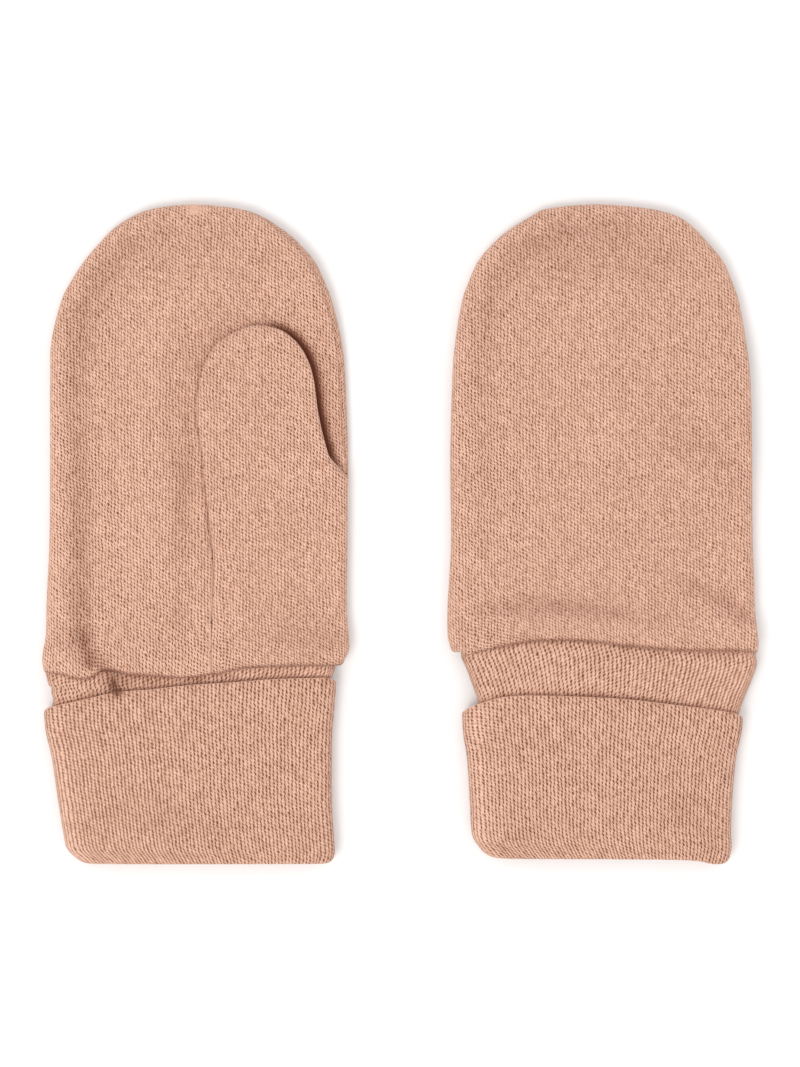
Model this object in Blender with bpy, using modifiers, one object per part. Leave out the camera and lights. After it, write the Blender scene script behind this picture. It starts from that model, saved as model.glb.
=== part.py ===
"""A pair of toddler's wool knit mittens laid flat side by side: the right hand's palm up on
the left, the left hand's back up on the right. Each has a palm, a back, a thumb of two
panels and a ribbed cuff turned up over itself. Metres, +Z up, fingertips towards +Y; the
origin is on the surface they lie on, midway between them."""

import math

import bmesh
import bpy
from mathutils import Vector

# Driving sizes, in millimetres
MM = 0.001
HALF_SPACING = 52.5      # from the middle of the pair to the middle of each mitten
HAND_WALL = 1.1          # knit of the hand and thumb
THUMB_BACK_WALL = 1.0
CUFF_WALL = 1.4          # ribbed knit of the cuff
SEAM_GAP = 0.3           # between panels that are sewn together
LAP_GAP = 0.35           # between panels that lie on each other
SKIRT = 0.2              # straight run beside a panel's cut edge, which keeps its rim square
HAND_DEPTH = 5.8         # the empty hand, outside to outside
WRIST_DEPTH = 7.7        # at the wrist and along the turned-up cuff
WRIST_FLAT = 4.0         # how far the full wrist depth runs up the hand
WRIST_EASE = 8.0         # and how far it takes to fall to the hand's depth
CROWN = 0.3              # soft doming of the upper panel
SIDE_RADIUS = 3.0        # rounding of the hand's sides, seen from above
LIP_RADIUS = 1.5         # roll of the hand's lower edge over the wrist seam
TUBE_REACH = 5.5         # how far the cuff runs up inside the hand
TUBE_INSET = LIP_RADIUS + SKIRT + SEAM_GAP
FOLD_RADIUS = TUBE_INSET / 2
CUFF_CROWN = 0.5
CORNER_EASE = 2.5        # how much sooner the cuff's inner layer rounds its lower corners
THUMB_PRESS = 1.5        # how far the palm gives way to the thumb lying on it
THUMB_STAND = 1.6        # how far the thumb then stands over the palm around it
THUMB_LIFT = THUMB_PRESS + THUMB_STAND
THUMB_RADIUS = 1.6       # rounding of the thumb's free edge
THUMB_MARGIN = 5.0       # level ground left round the thumb
THUMB_RAMP = 6.0         # and the slope beyond it
BASE_EASE = 9.0          # slope of the thumb's root below its base line
SEAM_X = 3.6             # the upright seam, from the mitten's middle
SEAM_TOP = (-22.0, -10.0)  # where that seam starts to lift into the thumb's edge, and ends
SEAM_ANGLE = math.radians(8)
CROTCH_Y = (11.0, 21.0)  # where the thumb leaves the side seam, and is clear of it
BASE_LINE = ((3.3, -12.0), (36.0, 19.6))
WAVE_REACH = 24.0        # how far up the hand the shape of its lower edge is felt
CROWN_REACH = 38.0       # from a mitten's middle to where its doming ends
SEAM_EASE = 4.0          # how soon the thumb's rise is felt beside the upright seam
HEM_EASE = 3.0           # how far below its free edge the cuff's layers come together
FAR = 60.0               # a place beyond either side, or a level below any row
CURVE_STEPS = 8
SIDE_STEPS = 4
MIDDLE_STEPS = 11
THUMB_MIDDLE_STEPS = 6
CUFF_SIDE_STEPS = 5
LIP_TURNS = (90, 60, 30)
FOLD_TURNS = (60, 120)

# Places of the cuff's points across its flat sides, and of its rings along its two layers
CUFF_SPREAD = (0.05, 0.12, 0.21, 0.32, 0.44, 0.56, 0.68, 0.79, 0.88, 0.95)
TUBE_RINGS = (0, 0.1, 0.19, 0.28, 0.4, 0.65, 0.9, 1)
TURNED_RINGS = (0, 0.1, 0.35, 0.68, 1)

# Rows of the hand: steps above its lower edge, then levels; and the thumb's own levels
WRIST_ROWS = (0.0, 5.0, 10.5)
HAND_LEVELS = (-18.5, -12, -5, 3, 11, 19, 27, 35, 43, 51, 58, 64.5, 70.5, 75.5, 79.5, 82.5, 84.6)
THUMB_LEVELS = (-18.5, -15, -11.5, -7, 0, 6, 11, 14.5, 18, 21, 26, 32, 38, 44, 48.5, 51.5, 53.3)

# The thumb's outline on either mitten: level, left, right. Its right side is the hand's
# own side up to the crotch.
THUMB_ROWS = (
    (-24.0, 3.6, None),
    (-15.5, 3.9, None),
    (-9.5, 4.1, None),
    (1.5, 3.1, None),
    (13.0, 1.8, None),
    (20.0, 1.2, 35.2),
    (26.5, 0.2, 32.9),
    (32.5, -0.3, 31.4),
    (39.5, 0.4, 29.8),
    (44.5, 2.0, 28.0),
    (48.5, 4.2, 25.6),
    (51.3, 7.6, 22.9),
    (53.2, 11.6, 19.8),
)
THUMB_TIP = (15.6, 54.2)

# Where each row of the thumb's inner side starts and ends: level on its left, on its right
THUMB_BACK_ROWS = (
    (-7.5, 20.3),
    (-2.0, 24.0),
    (4.5, 28.0),
    (12.0, 32.0),
    (20.0, 36.0),
    (28.0, 40.0),
    (36.0, 43.5),
    (43.0, 46.5),
    (48.0, 49.5),
    (51.5, 51.8),
    (53.3, 53.3),
)
THUMB_ROUND = (14.9, 39.0, 15.3)   # the round of its end: across, level, radius

# Corners of the thumb's opening in the palm, round from the upright seam's foot: level, across
OPENING = ((-FAR, 3.45), (-11.5, 3.45), (-13.0, 8.0), (-10.0, 14.0), (5.0, 31.0), (8.0, 33.5),
           (16.6, 34.0), (16.6, FAR), (-FAR, FAR))
OPENING_DEPTH = (-5.0, 15.0)


class Mitten:
    """One mitten's own sizes, in millimetres from its middle."""


RIGHT = Mitten()
RIGHT.name = "right"
RIGHT.middle = -HALF_SPACING
RIGHT.palm_up = True
RIGHT.tip = (-1.0, 85.7)
# level, left, right
RIGHT.outline = (
    (-34.4, -40.6, 38.6),
    (-30.5, -40.3, 39.5),
    (-26.0, -39.6, 39.2),
    (-17.5, -39.4, 38.8),
    (-2.0, -38.7, 39.0),
    (19.0, -38.5, 39.0),
    (39.5, -38.5, 38.3),
    (50.0, -38.2, 37.3),
    (60.5, -35.6, 34.8),
    (65.7, -33.0, 32.8),
    (70.9, -29.6, 30.2),
    (76.0, -25.2, 25.7),
    (79.2, -22.1, 21.8),
    (82.3, -17.4, 16.9),
    (84.5, -11.8, 10.8),
)
# place across, level of the hand's lower edge on the upper panel
RIGHT.hand_edge = ((-40.0, -36.3), (-34.3, -36.8), (-31.5, -37.8), (-27.8, -37.6), (-25.0, -36.0),
                   (-22.5, -35.8), (-19.0, -36.5), (-11.2, -37.2), (-2.9, -37.7), (3.6, -36.8),
                   (7.3, -36.0), (13.2, -35.0), (26.0, -34.5), (36.0, -34.5), (39.0, -34.2))
RIGHT.hidden_edge = ((-40.0, -36.3), (0.0, -36.0), (39.0, -34.2))
# place across, level of the turned-up cuff's free edge
RIGHT.hem = ((-39.9, -46.4), (-38.9, -45.1), (-36.9, -44.0), (-31.6, -43.3), (-21.1, -41.6),
             (-12.7, -40.7), (-2.1, -39.9), (9.1, -38.8), (19.0, -38.0), (29.1, -37.6),
             (34.3, -37.7), (36.0, -39.2))
RIGHT.hidden_hem = ((-39.9, -46.4), (-36.0, -45.0), (-15.0, -43.0), (15.0, -41.0), (36.0, -39.2))
# place across, level of the bottom fold
RIGHT.fold = ((-34.0, -84.9), (-27.0, -85.6), (0.0, -85.7), (32.0, -85.6), (35.5, -85.2))
# level, left, right of the wrist band outside
RIGHT.wrist = ((-30.0, -38.6, 36.0), (-35.6, -38.7, 35.4), (-37.2, -38.6, 34.2),
               (-38.9, -38.5, 33.6), (-41.5, -38.0, 33.4), (-46.0, -37.9, 33.3))
# level, left, right of the cuff outside
RIGHT.cuff = ((-39.0, -40.1, 36.0), (-46.4, -40.0, 35.4), (-52.6, -39.5, 34.9),
              (-59.2, -38.0, 34.8), (-69.6, -36.4, 34.8), (-79.0, -34.8, 35.4),
              (-81.5, -34.1, 35.6), (-83.0, -33.0, 35.5), (-85.0, -31.0, 34.9))
# level, rise of the right side's outermost line
RIGHT.side_rise = ((-FAR, 0.0), (12.0, 0.0), (21.0, -0.8), (34.0, -0.9), (44.0, -0.8), (52.0, -0.4), (62.0, 0.0))
# start across, start level, end across, end level, half width, depth
RIGHT.troughs = (
    (-15.1, 77.4, -24.2, 69.6, 3.0, 0.4),
    (-24.2, 69.6, -30.7, 57.9, 3.2, 0.7),
    (-30.7, 57.9, -31.5, 37.0, 3.2, 0.9),
    (-31.5, 37.0, -30.7, 11.0, 3.2, 1.1),
    (-30.7, 11.0, -30.2, -15.0, 3.0, 1.2),
    (-30.2, -15.0, -28.1, -28.0, 3.0, 1.3),
)

LEFT = Mitten()
LEFT.name = "left"
LEFT.middle = HALF_SPACING
LEFT.palm_up = False
LEFT.tip = (-1.6, 85.7)
LEFT.outline = (
    (-29.4, -40.2, 40.6),
    (-26.0, -40.3, 40.6),
    (-19.0, -40.2, 39.9),
    (-12.0, -39.8, 39.7),
    (-2.0, -39.3, 39.3),
    (19.0, -39.5, 39.0),
    (39.5, -39.0, 38.5),
    (50.0, -38.2, 37.4),
    (60.5, -36.4, 35.6),
    (65.7, -34.6, 33.8),
    (70.9, -32.2, 31.5),
    (76.0, -27.8, 27.3),
    (79.2, -23.9, 24.3),
    (82.3, -18.9, 20.2),
    (84.5, -12.8, 12.0),
)
LEFT.hand_edge = ((-39.6, -31.0), (-36.0, -32.2), (-33.5, -31.6), (-27.8, -30.0), (-19.2, -28.3),
                  (-9.4, -27.9), (-1.3, -28.3), (6.0, -29.2), (14.6, -30.0), (22.1, -30.4),
                  (36.4, -30.6), (39.8, -31.2))
LEFT.hidden_edge = ((-39.6, -31.0), (0.0, -31.5), (39.8, -31.2))
LEFT.hem = ((-36.4, -46.8), (-34.3, -45.1), (-30.2, -43.7), (-25.5, -42.6), (-18.7, -42.1),
            (-9.9, -42.2), (-1.3, -42.7), (7.5, -43.4), (16.1, -44.3), (25.0, -45.4),
            (30.7, -45.9), (35.4, -46.9), (36.8, -48.7))
LEFT.hidden_hem = ((-36.4, -46.8), (-20.0, -44.5), (15.0, -45.5), (36.8, -48.7))
LEFT.fold = ((-34.0, -83.6), (-26.4, -84.3), (0.0, -84.4), (22.0, -84.7), (29.0, -85.7),
             (33.4, -85.5))
LEFT.wrist = ((-31.6, -37.6, 38.3), (-34.2, -36.0, 39.4), (-38.5, -34.2, 38.4),
              (-43.7, -33.2, 36.4), (-48.7, -34.4, 34.8))
LEFT.cuff = ((-46.8, -36.4, 36.8), (-52.6, -36.1, 36.2), (-59.2, -35.1, 34.8),
             (-69.6, -34.4, 33.8), (-77.5, -34.2, 33.5), (-80.0, -33.4, 33.6),
             (-82.0, -31.8, 33.6), (-84.4, -29.0, 33.0))
LEFT.side_rise = ((-FAR, 0.0), (2.0, 0.0), (15.0, 1.8), (21.0, 2.5), (34.0, 2.5), (44.0, 2.2), (52.0, 1.2),
                  (62.0, 0.0))
LEFT.troughs = (
    (-30.7, -19.9, -19.2, -18.2, 2.6, 1.0),
    (-19.2, -18.2, -5.0, -18.8, 2.6, 1.2),
    (-5.0, -18.8, 14.6, -22.6, 2.6, 1.0),
    (20.3, -12.1, 30.0, -16.0, 2.6, 1.0),
    (30.0, -16.0, 38.5, -22.5, 2.4, 0.9),
)

WOOL = (0.658, 0.376, 0.270)   # dusty apricot, linear
PIECE_TONES = {"palm": 1.0, "back": 0.97, "thumb_front": 1.02, "thumb_back": 0.95, "cuff": 0.98}


def smooth(t):
    """0 before 0, 1 after 1 and an even ease between."""
    t = min(max(t, 0.0), 1.0)
    return t * t * (3 - 2 * t)


def lerp(a, b, t):
    return a + (b - a) * t


def look_up(rows, key, column=1):
    """A table's column at a key, straight between its rows, which may run up or down."""
    rows = rows if rows[0][0] < rows[-1][0] else rows[::-1]
    if key <= rows[0][0]:
        return rows[0][column]
    for low, high in zip(rows, rows[1:]):
        if key <= high[0]:
            return lerp(low[column], high[column], (key - low[0]) / (high[0] - low[0]))
    return rows[-1][column]


def curve_through(points, beyond):
    """A smooth line through points, heading for one beyond the last: a Catmull-Rom spline,
    read at even steps."""
    points = [Vector(p) for p in points]
    padded = [2 * points[0] - points[1]] + points + [Vector(beyond)]
    line = []
    for before, start, end, after in zip(padded, padded[1:], padded[2:], padded[3:]):
        for step in range(CURVE_STEPS):
            t = step / CURVE_STEPS
            line.append(0.5 * (2 * start + (end - before) * t
                               + (2 * before - 5 * start + 4 * end - after) * t ** 2
                               + (3 * start - before - 3 * end + after) * t ** 3))
    return line + [points[-1]]


def side_at(line, level, turn):
    """The point of a side's line at a level, and the direction into the mitten there."""
    for low, high in zip(line, line[1:]):
        if level <= high.y or high is line[-1]:
            t = min((level - low.y) / max(high.y - low.y, 1e-6), 1.0)
            run = (high - low).normalized()
            return low.lerp(high, t), Vector((run.y, -run.x)) * turn
    raise ValueError("a side's line has two points or more")


def sides_of(rows, tip):
    """The left and right sides as lines from the wrist up to the tip."""
    left = [(row[1], row[0]) for row in rows]
    right = [(row[2], row[0]) for row in rows]
    return curve_through(left + [tip], right[-1]), curve_through(right + [tip], left[-1])


def trough_depth(mitten, x, y):
    """How far the soft creases sink the upper panel at a place."""
    depth = 0.0
    for x0, y0, x1, y1, half_width, deep in mitten.troughs:
        start, run = Vector((x0, y0)), Vector((x1 - x0, y1 - y0))
        t = min(max((Vector((x, y)) - start).dot(run) / run.length_squared, 0.0), 1.0)
        away = (Vector((x, y)) - start - run * t).length
        depth = max(depth, deep * math.exp(-(away / half_width) ** 2))
    return depth


def hand_height(mitten, x, y):
    """Outside of the upper panel over the floor, without the thumb."""
    above = y - look_up(mitten.hand_edge, x)
    wrist = 1 - smooth((above - WRIST_FLAT) / WRIST_EASE)
    rest = 1 - wrist
    crown = CROWN * max(0.0, 1 - (x / CROWN_REACH) ** 2) * rest
    return HAND_DEPTH + (WRIST_DEPTH - HAND_DEPTH) * wrist + crown - trough_depth(mitten, x, y) * rest


def thumb_weight(x, y):
    """1 where the thumb lies on the palm, easing to 0 around it and at the upright seam."""
    rows = [(-FAR, SEAM_X, FAR)] + [(r[0], r[1], FAR if r[2] is None else r[2]) for r in THUMB_ROWS]
    round_x, round_y, radius = THUMB_ROUND
    if y > round_y:
        away = math.hypot(x - round_x, y - round_y) - radius
    else:
        away = max(look_up(rows, y, 1) - x, x - look_up(rows, y, 2))
    seam = max(smooth((x - SEAM_X) / SEAM_EASE), smooth((y - SEAM_TOP[0]) / (SEAM_TOP[1] - SEAM_TOP[0])))
    return (1 - smooth((away - THUMB_MARGIN) / THUMB_RAMP)) * seam


def base_weight(x, y):
    """1 above the thumb's base line, easing to 0 below it."""
    (x0, y0), (x1, y1) = BASE_LINE
    run = Vector((x1 - x0, y1 - y0)).normalized()
    below = (x - x0) * run.y - (y - y0) * run.x
    return 1 - smooth(below / BASE_EASE)


def palm_height(mitten, x, y):
    """Outside of the palm over the floor."""
    weight = thumb_weight(x, y)
    if mitten.palm_up:
        return hand_height(mitten, x, y) - THUMB_PRESS * weight
    return THUMB_LIFT * weight


def back_height(mitten, x, y):
    """Outside of the back over the floor."""
    if mitten.palm_up:
        return 0.0
    return hand_height(mitten, x, y) + THUMB_STAND * thumb_weight(x, y) * base_weight(x, y)


def thumb_height(mitten, x, y):
    """Outside of the thumb's front over the floor."""
    if not mitten.palm_up:
        return 0.0
    return hand_height(mitten, x, y) + THUMB_STAND * thumb_weight(x, y) * base_weight(x, y)


def side_level(mitten, level, on_right):
    """Height of the side's outermost line."""
    edge = mitten.hand_edge[-1] if on_right else mitten.hand_edge[0]
    wrist = 1 - smooth((level - edge[1] - WRIST_FLAT) / WRIST_EASE)
    rise = look_up(mitten.side_rise, level) if on_right else 0.0
    return lerp(HAND_DEPTH, WRIST_DEPTH, wrist) / 2 + rise


def lip_steps():
    """The rolled lower edge, from its rim up: how far down, and how far in."""
    turns = [math.radians(a) for a in LIP_TURNS]
    roll = [(LIP_RADIUS * math.sin(a), LIP_RADIUS * (1 - math.cos(a))) for a in turns]
    return [(LIP_RADIUS, LIP_RADIUS + SKIRT)] + roll


def side_section(point, inward, radius, centre, face):
    """A side's rounding, as points, from its seam at the outermost line to the panel's face,
    with a straight skirt at the rim."""
    def at(angle):
        inset = radius * (1 - math.cos(angle))
        return Vector((*(point + inward * inset), centre + (face - centre) * math.sin(angle)))

    run = Vector((0, 0, math.copysign(1, face - centre)))
    rim = at(0) + run * SEAM_GAP / 2
    turns = [math.pi / 2 * step / SIDE_STEPS for step in range(1, SIDE_STEPS + 1)]
    return [rim, rim + run * SKIRT] + [at(turn) for turn in turns]


def rolled_section(point, inward, turn, face, out):
    """The thumb's left edge: from an upright seam (a small turn) to a free rounded edge."""
    radius = THUMB_RADIUS * (math.pi / 2) / turn

    def at(angle):
        inset = radius * (math.sin(turn) - math.sin(angle))
        return Vector((*(point + inward * inset), face - out * radius * (1 - math.cos(angle))))

    run = Vector((*(inward * math.cos(turn)), out * math.sin(turn)))
    rim = at(turn) + run * SEAM_GAP / 2
    turns = [turn * (1 - step / SIDE_STEPS) for step in range(1, SIDE_STEPS + 1)]
    return [rim, rim + run * SKIRT] + [at(angle) for angle in turns]


def cross_row(left, right, wave, height, down, steps):
    """One row of a panel from rim to rim. Each side comes with its own shift along the hand;
    between the roundings the row follows the wave and the height function."""
    (left_section, left_shift), (right_section, right_shift) = left, right
    start, end = left_section[-1], right_section[-1]
    middle = []
    for step in range(1, steps):
        spot = start.lerp(end, step / steps)
        y = spot.y + wave(spot.x)
        middle.append(Vector((spot.x, y - down, height(spot.x, y))))
    left_section = moved(left_section, 0, left_shift - down)
    right_section = moved(right_section, 0, right_shift - down)
    return left_section + middle + right_section[::-1]


def panel_levels(mitten, levels):
    """Levels of a panel's rows from its lower edge up."""
    base = mitten.outline[0][0]
    near = [base + step for step in WRIST_ROWS]
    return near + [level for level in levels if level > near[-1] + 3]


def mesh_from_rows(name, rows, middle, upward, ring=False):
    """A mesh of a grid of points, faced outwards; rows that meet in a point are merged."""
    mesh = bmesh.new()
    grid = [[mesh.verts.new(((p.x + middle) * MM, p.y * MM, p.z * MM)) for p in row] for row in rows]
    count = len(grid[0])
    for low, high in zip(grid, grid[1:]):
        for i in range(count if ring else count - 1):
            j = (i + 1) % count
            face = (low[i], low[j], high[j], high[i])
            mesh.faces.new(face if upward else face[::-1])
    bmesh.ops.remove_doubles(mesh, verts=mesh.verts, dist=0.00002)
    bmesh.ops.dissolve_degenerate(mesh, edges=mesh.edges, dist=0.00002)
    data = bpy.data.meshes.new(name)
    mesh.to_mesh(data)
    mesh.free()
    data.shade_smooth()
    return data


def wool_material(name, tone):
    material = bpy.data.materials.new(name)
    material.use_nodes = True
    shader = material.node_tree.nodes["Principled BSDF"]
    shader.inputs["Base Color"].default_value = (*[channel * tone for channel in WOOL], 1.0)
    shader.inputs["Roughness"].default_value = 0.9
    shader.inputs["Metallic"].default_value = 0.0
    return material


def add_piece(mitten, piece, data, wall, offset, parts):
    """An object for a piece: its open surface with the cloth's thickness."""
    name = f"{mitten.name}_{piece}"
    thing = bpy.data.objects.new(name, data)
    data.materials.append(wool_material(name + "_wool", PIECE_TONES[piece]))
    parts.objects.link(thing)
    thicken = thing.modifiers.new("cloth", "SOLIDIFY")
    thicken.thickness = wall * MM
    thicken.offset = offset
    return thing


def edge_wave(mitten, edge, level):
    """How far a row is moved along the hand to follow its lower edge's shape, by place across."""
    base = mitten.outline[0][0]
    fade = max(0.0, 1 - (level - base) / WAVE_REACH) ** 2

    def wave(x):
        return fade * (look_up(edge, x) + LIP_RADIUS - base)

    return wave


def moved(points, across, along):
    return [point + Vector((across, along, 0)) for point in points]


def hand_rows(mitten, upper, face, edge):
    """Rows of a whole hand panel, from the rim of its lower edge to the tip."""
    left, right = sides_of(mitten.outline, mitten.tip)
    up = 1 if upper else -1

    def row(level, down, inset, tip=False):
        wave = edge_wave(mitten, edge, level)
        sections = []
        for line, turn in ((left, 1), (right, -1)):
            point, inward = side_at(line, level, turn)
            if tip:
                point, inward = Vector(mitten.tip), Vector((0, -1))
            shift = wave(point.x)
            point = point + inward * inset
            radius = SIDE_RADIUS - inset
            spot = point + inward * radius
            section = side_section(point, inward, radius, side_level(mitten, level, turn < 0),
                                   face(spot.x, spot.y + shift) - up * inset)
            sections.append((section, shift))
        return cross_row(*sections, wave, lambda x, y: face(x, y) - up * inset, down, MIDDLE_STEPS)

    base = mitten.outline[0][0]
    rows = [row(base, down, inset) for down, inset in lip_steps()]
    rows += [row(level, 0.0, 0.0) for level in panel_levels(mitten, HAND_LEVELS)]
    return rows + [row(mitten.tip[1], 0.0, 0.0, tip=True)]


def thumb_sides(mitten):
    """The thumb front's sides, from the wrist to its tip."""
    base = mitten.outline[0][0]
    hand_right = sides_of(mitten.outline, mitten.tip)[1]
    seam_side = [(SEAM_X, base)] + [(row[1], row[0]) for row in THUMB_ROWS]
    free_side = [(row[2], row[0]) for row in THUMB_ROWS if row[2]]
    crotch = tuple(side_at(hand_right, CROTCH_Y[0], -1)[0])
    left = curve_through(seam_side + [THUMB_TIP], free_side[-1])
    free = curve_through([crotch] + free_side + [THUMB_TIP], seam_side[-1])
    shared = [point for point in hand_right if point.y < CROTCH_Y[0]]
    return left, shared + free


def thumb_front_rows(mitten):
    """Rows of the lower corner of the palm and the thumb's outer side, in one panel."""
    left, right = thumb_sides(mitten)
    out = 1 if mitten.palm_up else -1
    base = mitten.outline[0][0]

    def face(x, y):
        return thumb_height(mitten, x, y)

    edge = mitten.hand_edge if mitten.palm_up else mitten.hidden_edge

    def row(level, down, inset, tip=False):
        wave = edge_wave(mitten, edge, level)
        point, inward = side_at(left, level, 1)
        if tip:
            point, inward = Vector(THUMB_TIP), Vector((0, -1))
        lift = smooth((level - SEAM_TOP[0]) / (SEAM_TOP[1] - SEAM_TOP[0]))
        turn = lerp(SEAM_ANGLE, math.pi / 2, lift)
        seam_shift = wave(point.x)
        spot = point + inward * THUMB_RADIUS
        height = face(spot.x, spot.y + seam_shift) - out * inset
        seam_section = rolled_section(point, inward, turn, height, out)
        point, inward = side_at(right, level, -1)
        if tip:
            point, inward = Vector(THUMB_TIP), Vector((0, -1))
        free = smooth((level - CROTCH_Y[0]) / (CROTCH_Y[1] - CROTCH_Y[0]))
        side_shift = wave(point.x)
        radius = lerp(SIDE_RADIUS - inset, THUMB_RADIUS, free)
        point = point + inward * inset
        spot = point + inward * radius
        height = face(spot.x, spot.y + side_shift) - out * inset
        centre = lerp(side_level(mitten, level, True), height - out * THUMB_RADIUS, free)
        side = side_section(point, inward, radius, centre, height)
        return cross_row((seam_section, seam_shift), (side, side_shift), wave,
                         lambda x, y: face(x, y) - out * inset, down, THUMB_MIDDLE_STEPS)

    rows = [row(base, down, inset) for down, inset in lip_steps()]
    rows += [row(level, 0.0, 0.0) for level in panel_levels(mitten, THUMB_LEVELS)]
    return rows + [row(THUMB_TIP[1], 0.0, 0.0, tip=True)]


def thumb_back_rows(mitten):
    """Rows of the thumb's inner side, made from the palm's outside and moved out."""
    left, right = thumb_sides(mitten)
    out = 1 if mitten.palm_up else -1
    rows = []
    for left_level, right_level in THUMB_BACK_ROWS:
        start, inward_left = side_at(left, left_level, 1)
        end, inward_right = side_at(right, right_level, -1)
        start, end = start + inward_left * SEAM_GAP, end + inward_right * SEAM_GAP
        spots = [start.lerp(end, step / THUMB_MIDDLE_STEPS) for step in range(THUMB_MIDDLE_STEPS + 1)]
        rows.append([Vector((*s, palm_height(mitten, *s) + out * LAP_GAP)) for s in spots])
    tip = Vector((THUMB_TIP[0], THUMB_TIP[1] - SEAM_GAP))
    rows.append([Vector((*tip, palm_height(mitten, *tip) + out * LAP_GAP))] * (THUMB_MIDDLE_STEPS + 1))
    return rows


def cuff_rows(mitten):
    """The ribbed cuff's middle surface as rings: down inside the wrist, round the bottom
    fold and back up outside to its free edge."""
    middle_z = WRIST_DEPTH / 2
    half = CUFF_WALL / 2
    tube, outside = TUBE_INSET + half, half
    hand_line = (mitten.hand_edge, mitten.hidden_edge)
    hem_line = (mitten.hem, mitten.hidden_hem)
    hem_low = max(mitten.hem[0][1], mitten.hem[-1][1])

    def line(pair, x, upper):
        return lerp(look_up(pair[1], x), look_up(pair[0], x), upper)

    def top_level(x, upper):
        return line(hand_line, x, upper) + TUBE_REACH

    def fold_level(x, upper):
        return look_up(mitten.fold, x) + FOLD_RADIUS + half

    def hem_level(x, upper):
        return line(hem_line, x, upper)

    def envelope(y, column, inside):
        sign = -1 if column == 1 else 1
        if not inside:
            return look_up(mitten.cuff, y, column)
        cuff = look_up(mitten.cuff, y - CORNER_EASE, column)
        wrist = look_up(mitten.wrist, y, column) + sign * TUBE_INSET
        blend = lerp(wrist, cuff, smooth((hem_low - HEM_EASE - y) / HEM_EASE))
        return blend if y > hem_low else (max(blend, cuff) if column == 1 else min(blend, cuff))

    def ring(level, inset, inside, crown):
        radius = middle_z - inset
        left = envelope(level(-FAR, 0.5), 1, inside) + inset
        right = envelope(level(FAR, 0.5), 2, inside) - inset
        turns = [math.pi * (step / CUFF_SIDE_STEPS - 0.5) for step in range(CUFF_SIDE_STEPS + 1)]
        points = []
        for turn in turns:
            x = left + radius * (1 - math.cos(turn))
            upper = (1 + math.sin(turn)) / 2
            points.append(Vector((x, level(x, upper), middle_z + radius * math.sin(turn))))
        inner_left, inner_right = left + radius, right - radius
        for t in CUFF_SPREAD:
            x = lerp(inner_left, inner_right, t)
            dome = crown * math.sin(math.pi * t) ** 0.5
            points.append(Vector((x, level(x, 1.0), middle_z + radius + dome)))
        for turn in turns[::-1]:
            x = right - radius * (1 - math.cos(turn))
            upper = (1 + math.sin(turn)) / 2
            points.append(Vector((x, level(x, upper), middle_z + radius * math.sin(turn))))
        for t in CUFF_SPREAD[::-1]:
            x = lerp(inner_left, inner_right, t)
            points.append(Vector((x, level(x, 0.0), middle_z - radius)))
        return points

    def between(first, last, t):
        return lambda x, upper: lerp(first(x, upper), last(x, upper), t)

    def folded(turn):
        return lambda x, upper: fold_level(x, upper) - FOLD_RADIUS * math.sin(turn)

    rings = [ring(between(top_level, fold_level, t), tube, True, 0.0) for t in TUBE_RINGS]
    for turn in (math.radians(a) for a in FOLD_TURNS):
        inset = lerp(tube, outside, (1 - math.cos(turn)) / 2)
        rings.append(ring(folded(turn), inset, False, CUFF_CROWN * 0.4))
    rings += [ring(between(fold_level, hem_level, t), outside, False, CUFF_CROWN)
              for t in TURNED_RINGS]
    return rings


def opening_cutter(mitten, cutters):
    """A prism over the thumb's opening in the palm."""
    low, high = OPENING_DEPTH
    mesh = bmesh.new()
    spots = [((x + mitten.middle) * MM, y * MM, low * MM) for y, x in OPENING]
    face = mesh.faces.new([mesh.verts.new(spot) for spot in spots])
    grown = bmesh.ops.extrude_face_region(mesh, geom=[face])
    raised = [item for item in grown["geom"] if isinstance(item, bmesh.types.BMVert)]
    bmesh.ops.translate(mesh, verts=raised, vec=(0, 0, (high - low) * MM))
    bmesh.ops.recalc_face_normals(mesh, faces=mesh.faces)
    data = bpy.data.meshes.new(f"{mitten.name}_thumb_opening")
    mesh.to_mesh(data)
    mesh.free()
    cutter = bpy.data.objects.new(data.name, data)
    cutter.hide_render = True
    cutter.display_type = "WIRE"
    cutters.objects.link(cutter)
    return cutter


def build_mitten(mitten, parts, cutters):
    """The five pieces of one mitten."""
    def palm(x, y):
        return palm_height(mitten, x, y)

    def back(x, y):
        return back_height(mitten, x, y)

    palm_up = mitten.palm_up
    palm_edge = mitten.hand_edge if palm_up else mitten.hidden_edge
    back_edge = mitten.hidden_edge if palm_up else mitten.hand_edge
    rows = hand_rows(mitten, palm_up, palm, palm_edge)
    data = mesh_from_rows(f"{mitten.name}_palm", rows, mitten.middle, palm_up)
    thing = add_piece(mitten, "palm", data, HAND_WALL, -1, parts)
    cut = thing.modifiers.new("thumb opening", "BOOLEAN")
    cut.operation = "DIFFERENCE"
    cut.solver = "MANIFOLD"
    cut.object = opening_cutter(mitten, cutters)

    rows = hand_rows(mitten, not palm_up, back, back_edge)
    data = mesh_from_rows(f"{mitten.name}_back", rows, mitten.middle, not palm_up)
    add_piece(mitten, "back", data, HAND_WALL, -1, parts)

    rows = thumb_front_rows(mitten)
    data = mesh_from_rows(f"{mitten.name}_thumb_front", rows, mitten.middle, palm_up)
    add_piece(mitten, "thumb_front", data, HAND_WALL, -1, parts)

    rows = thumb_back_rows(mitten)
    data = mesh_from_rows(f"{mitten.name}_thumb_back", rows, mitten.middle, palm_up)
    add_piece(mitten, "thumb_back", data, THUMB_BACK_WALL, 1, parts)

    data = mesh_from_rows(f"{mitten.name}_cuff", cuff_rows(mitten), mitten.middle, False, ring=True)
    add_piece(mitten, "cuff", data, CUFF_WALL, 0, parts)


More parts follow.
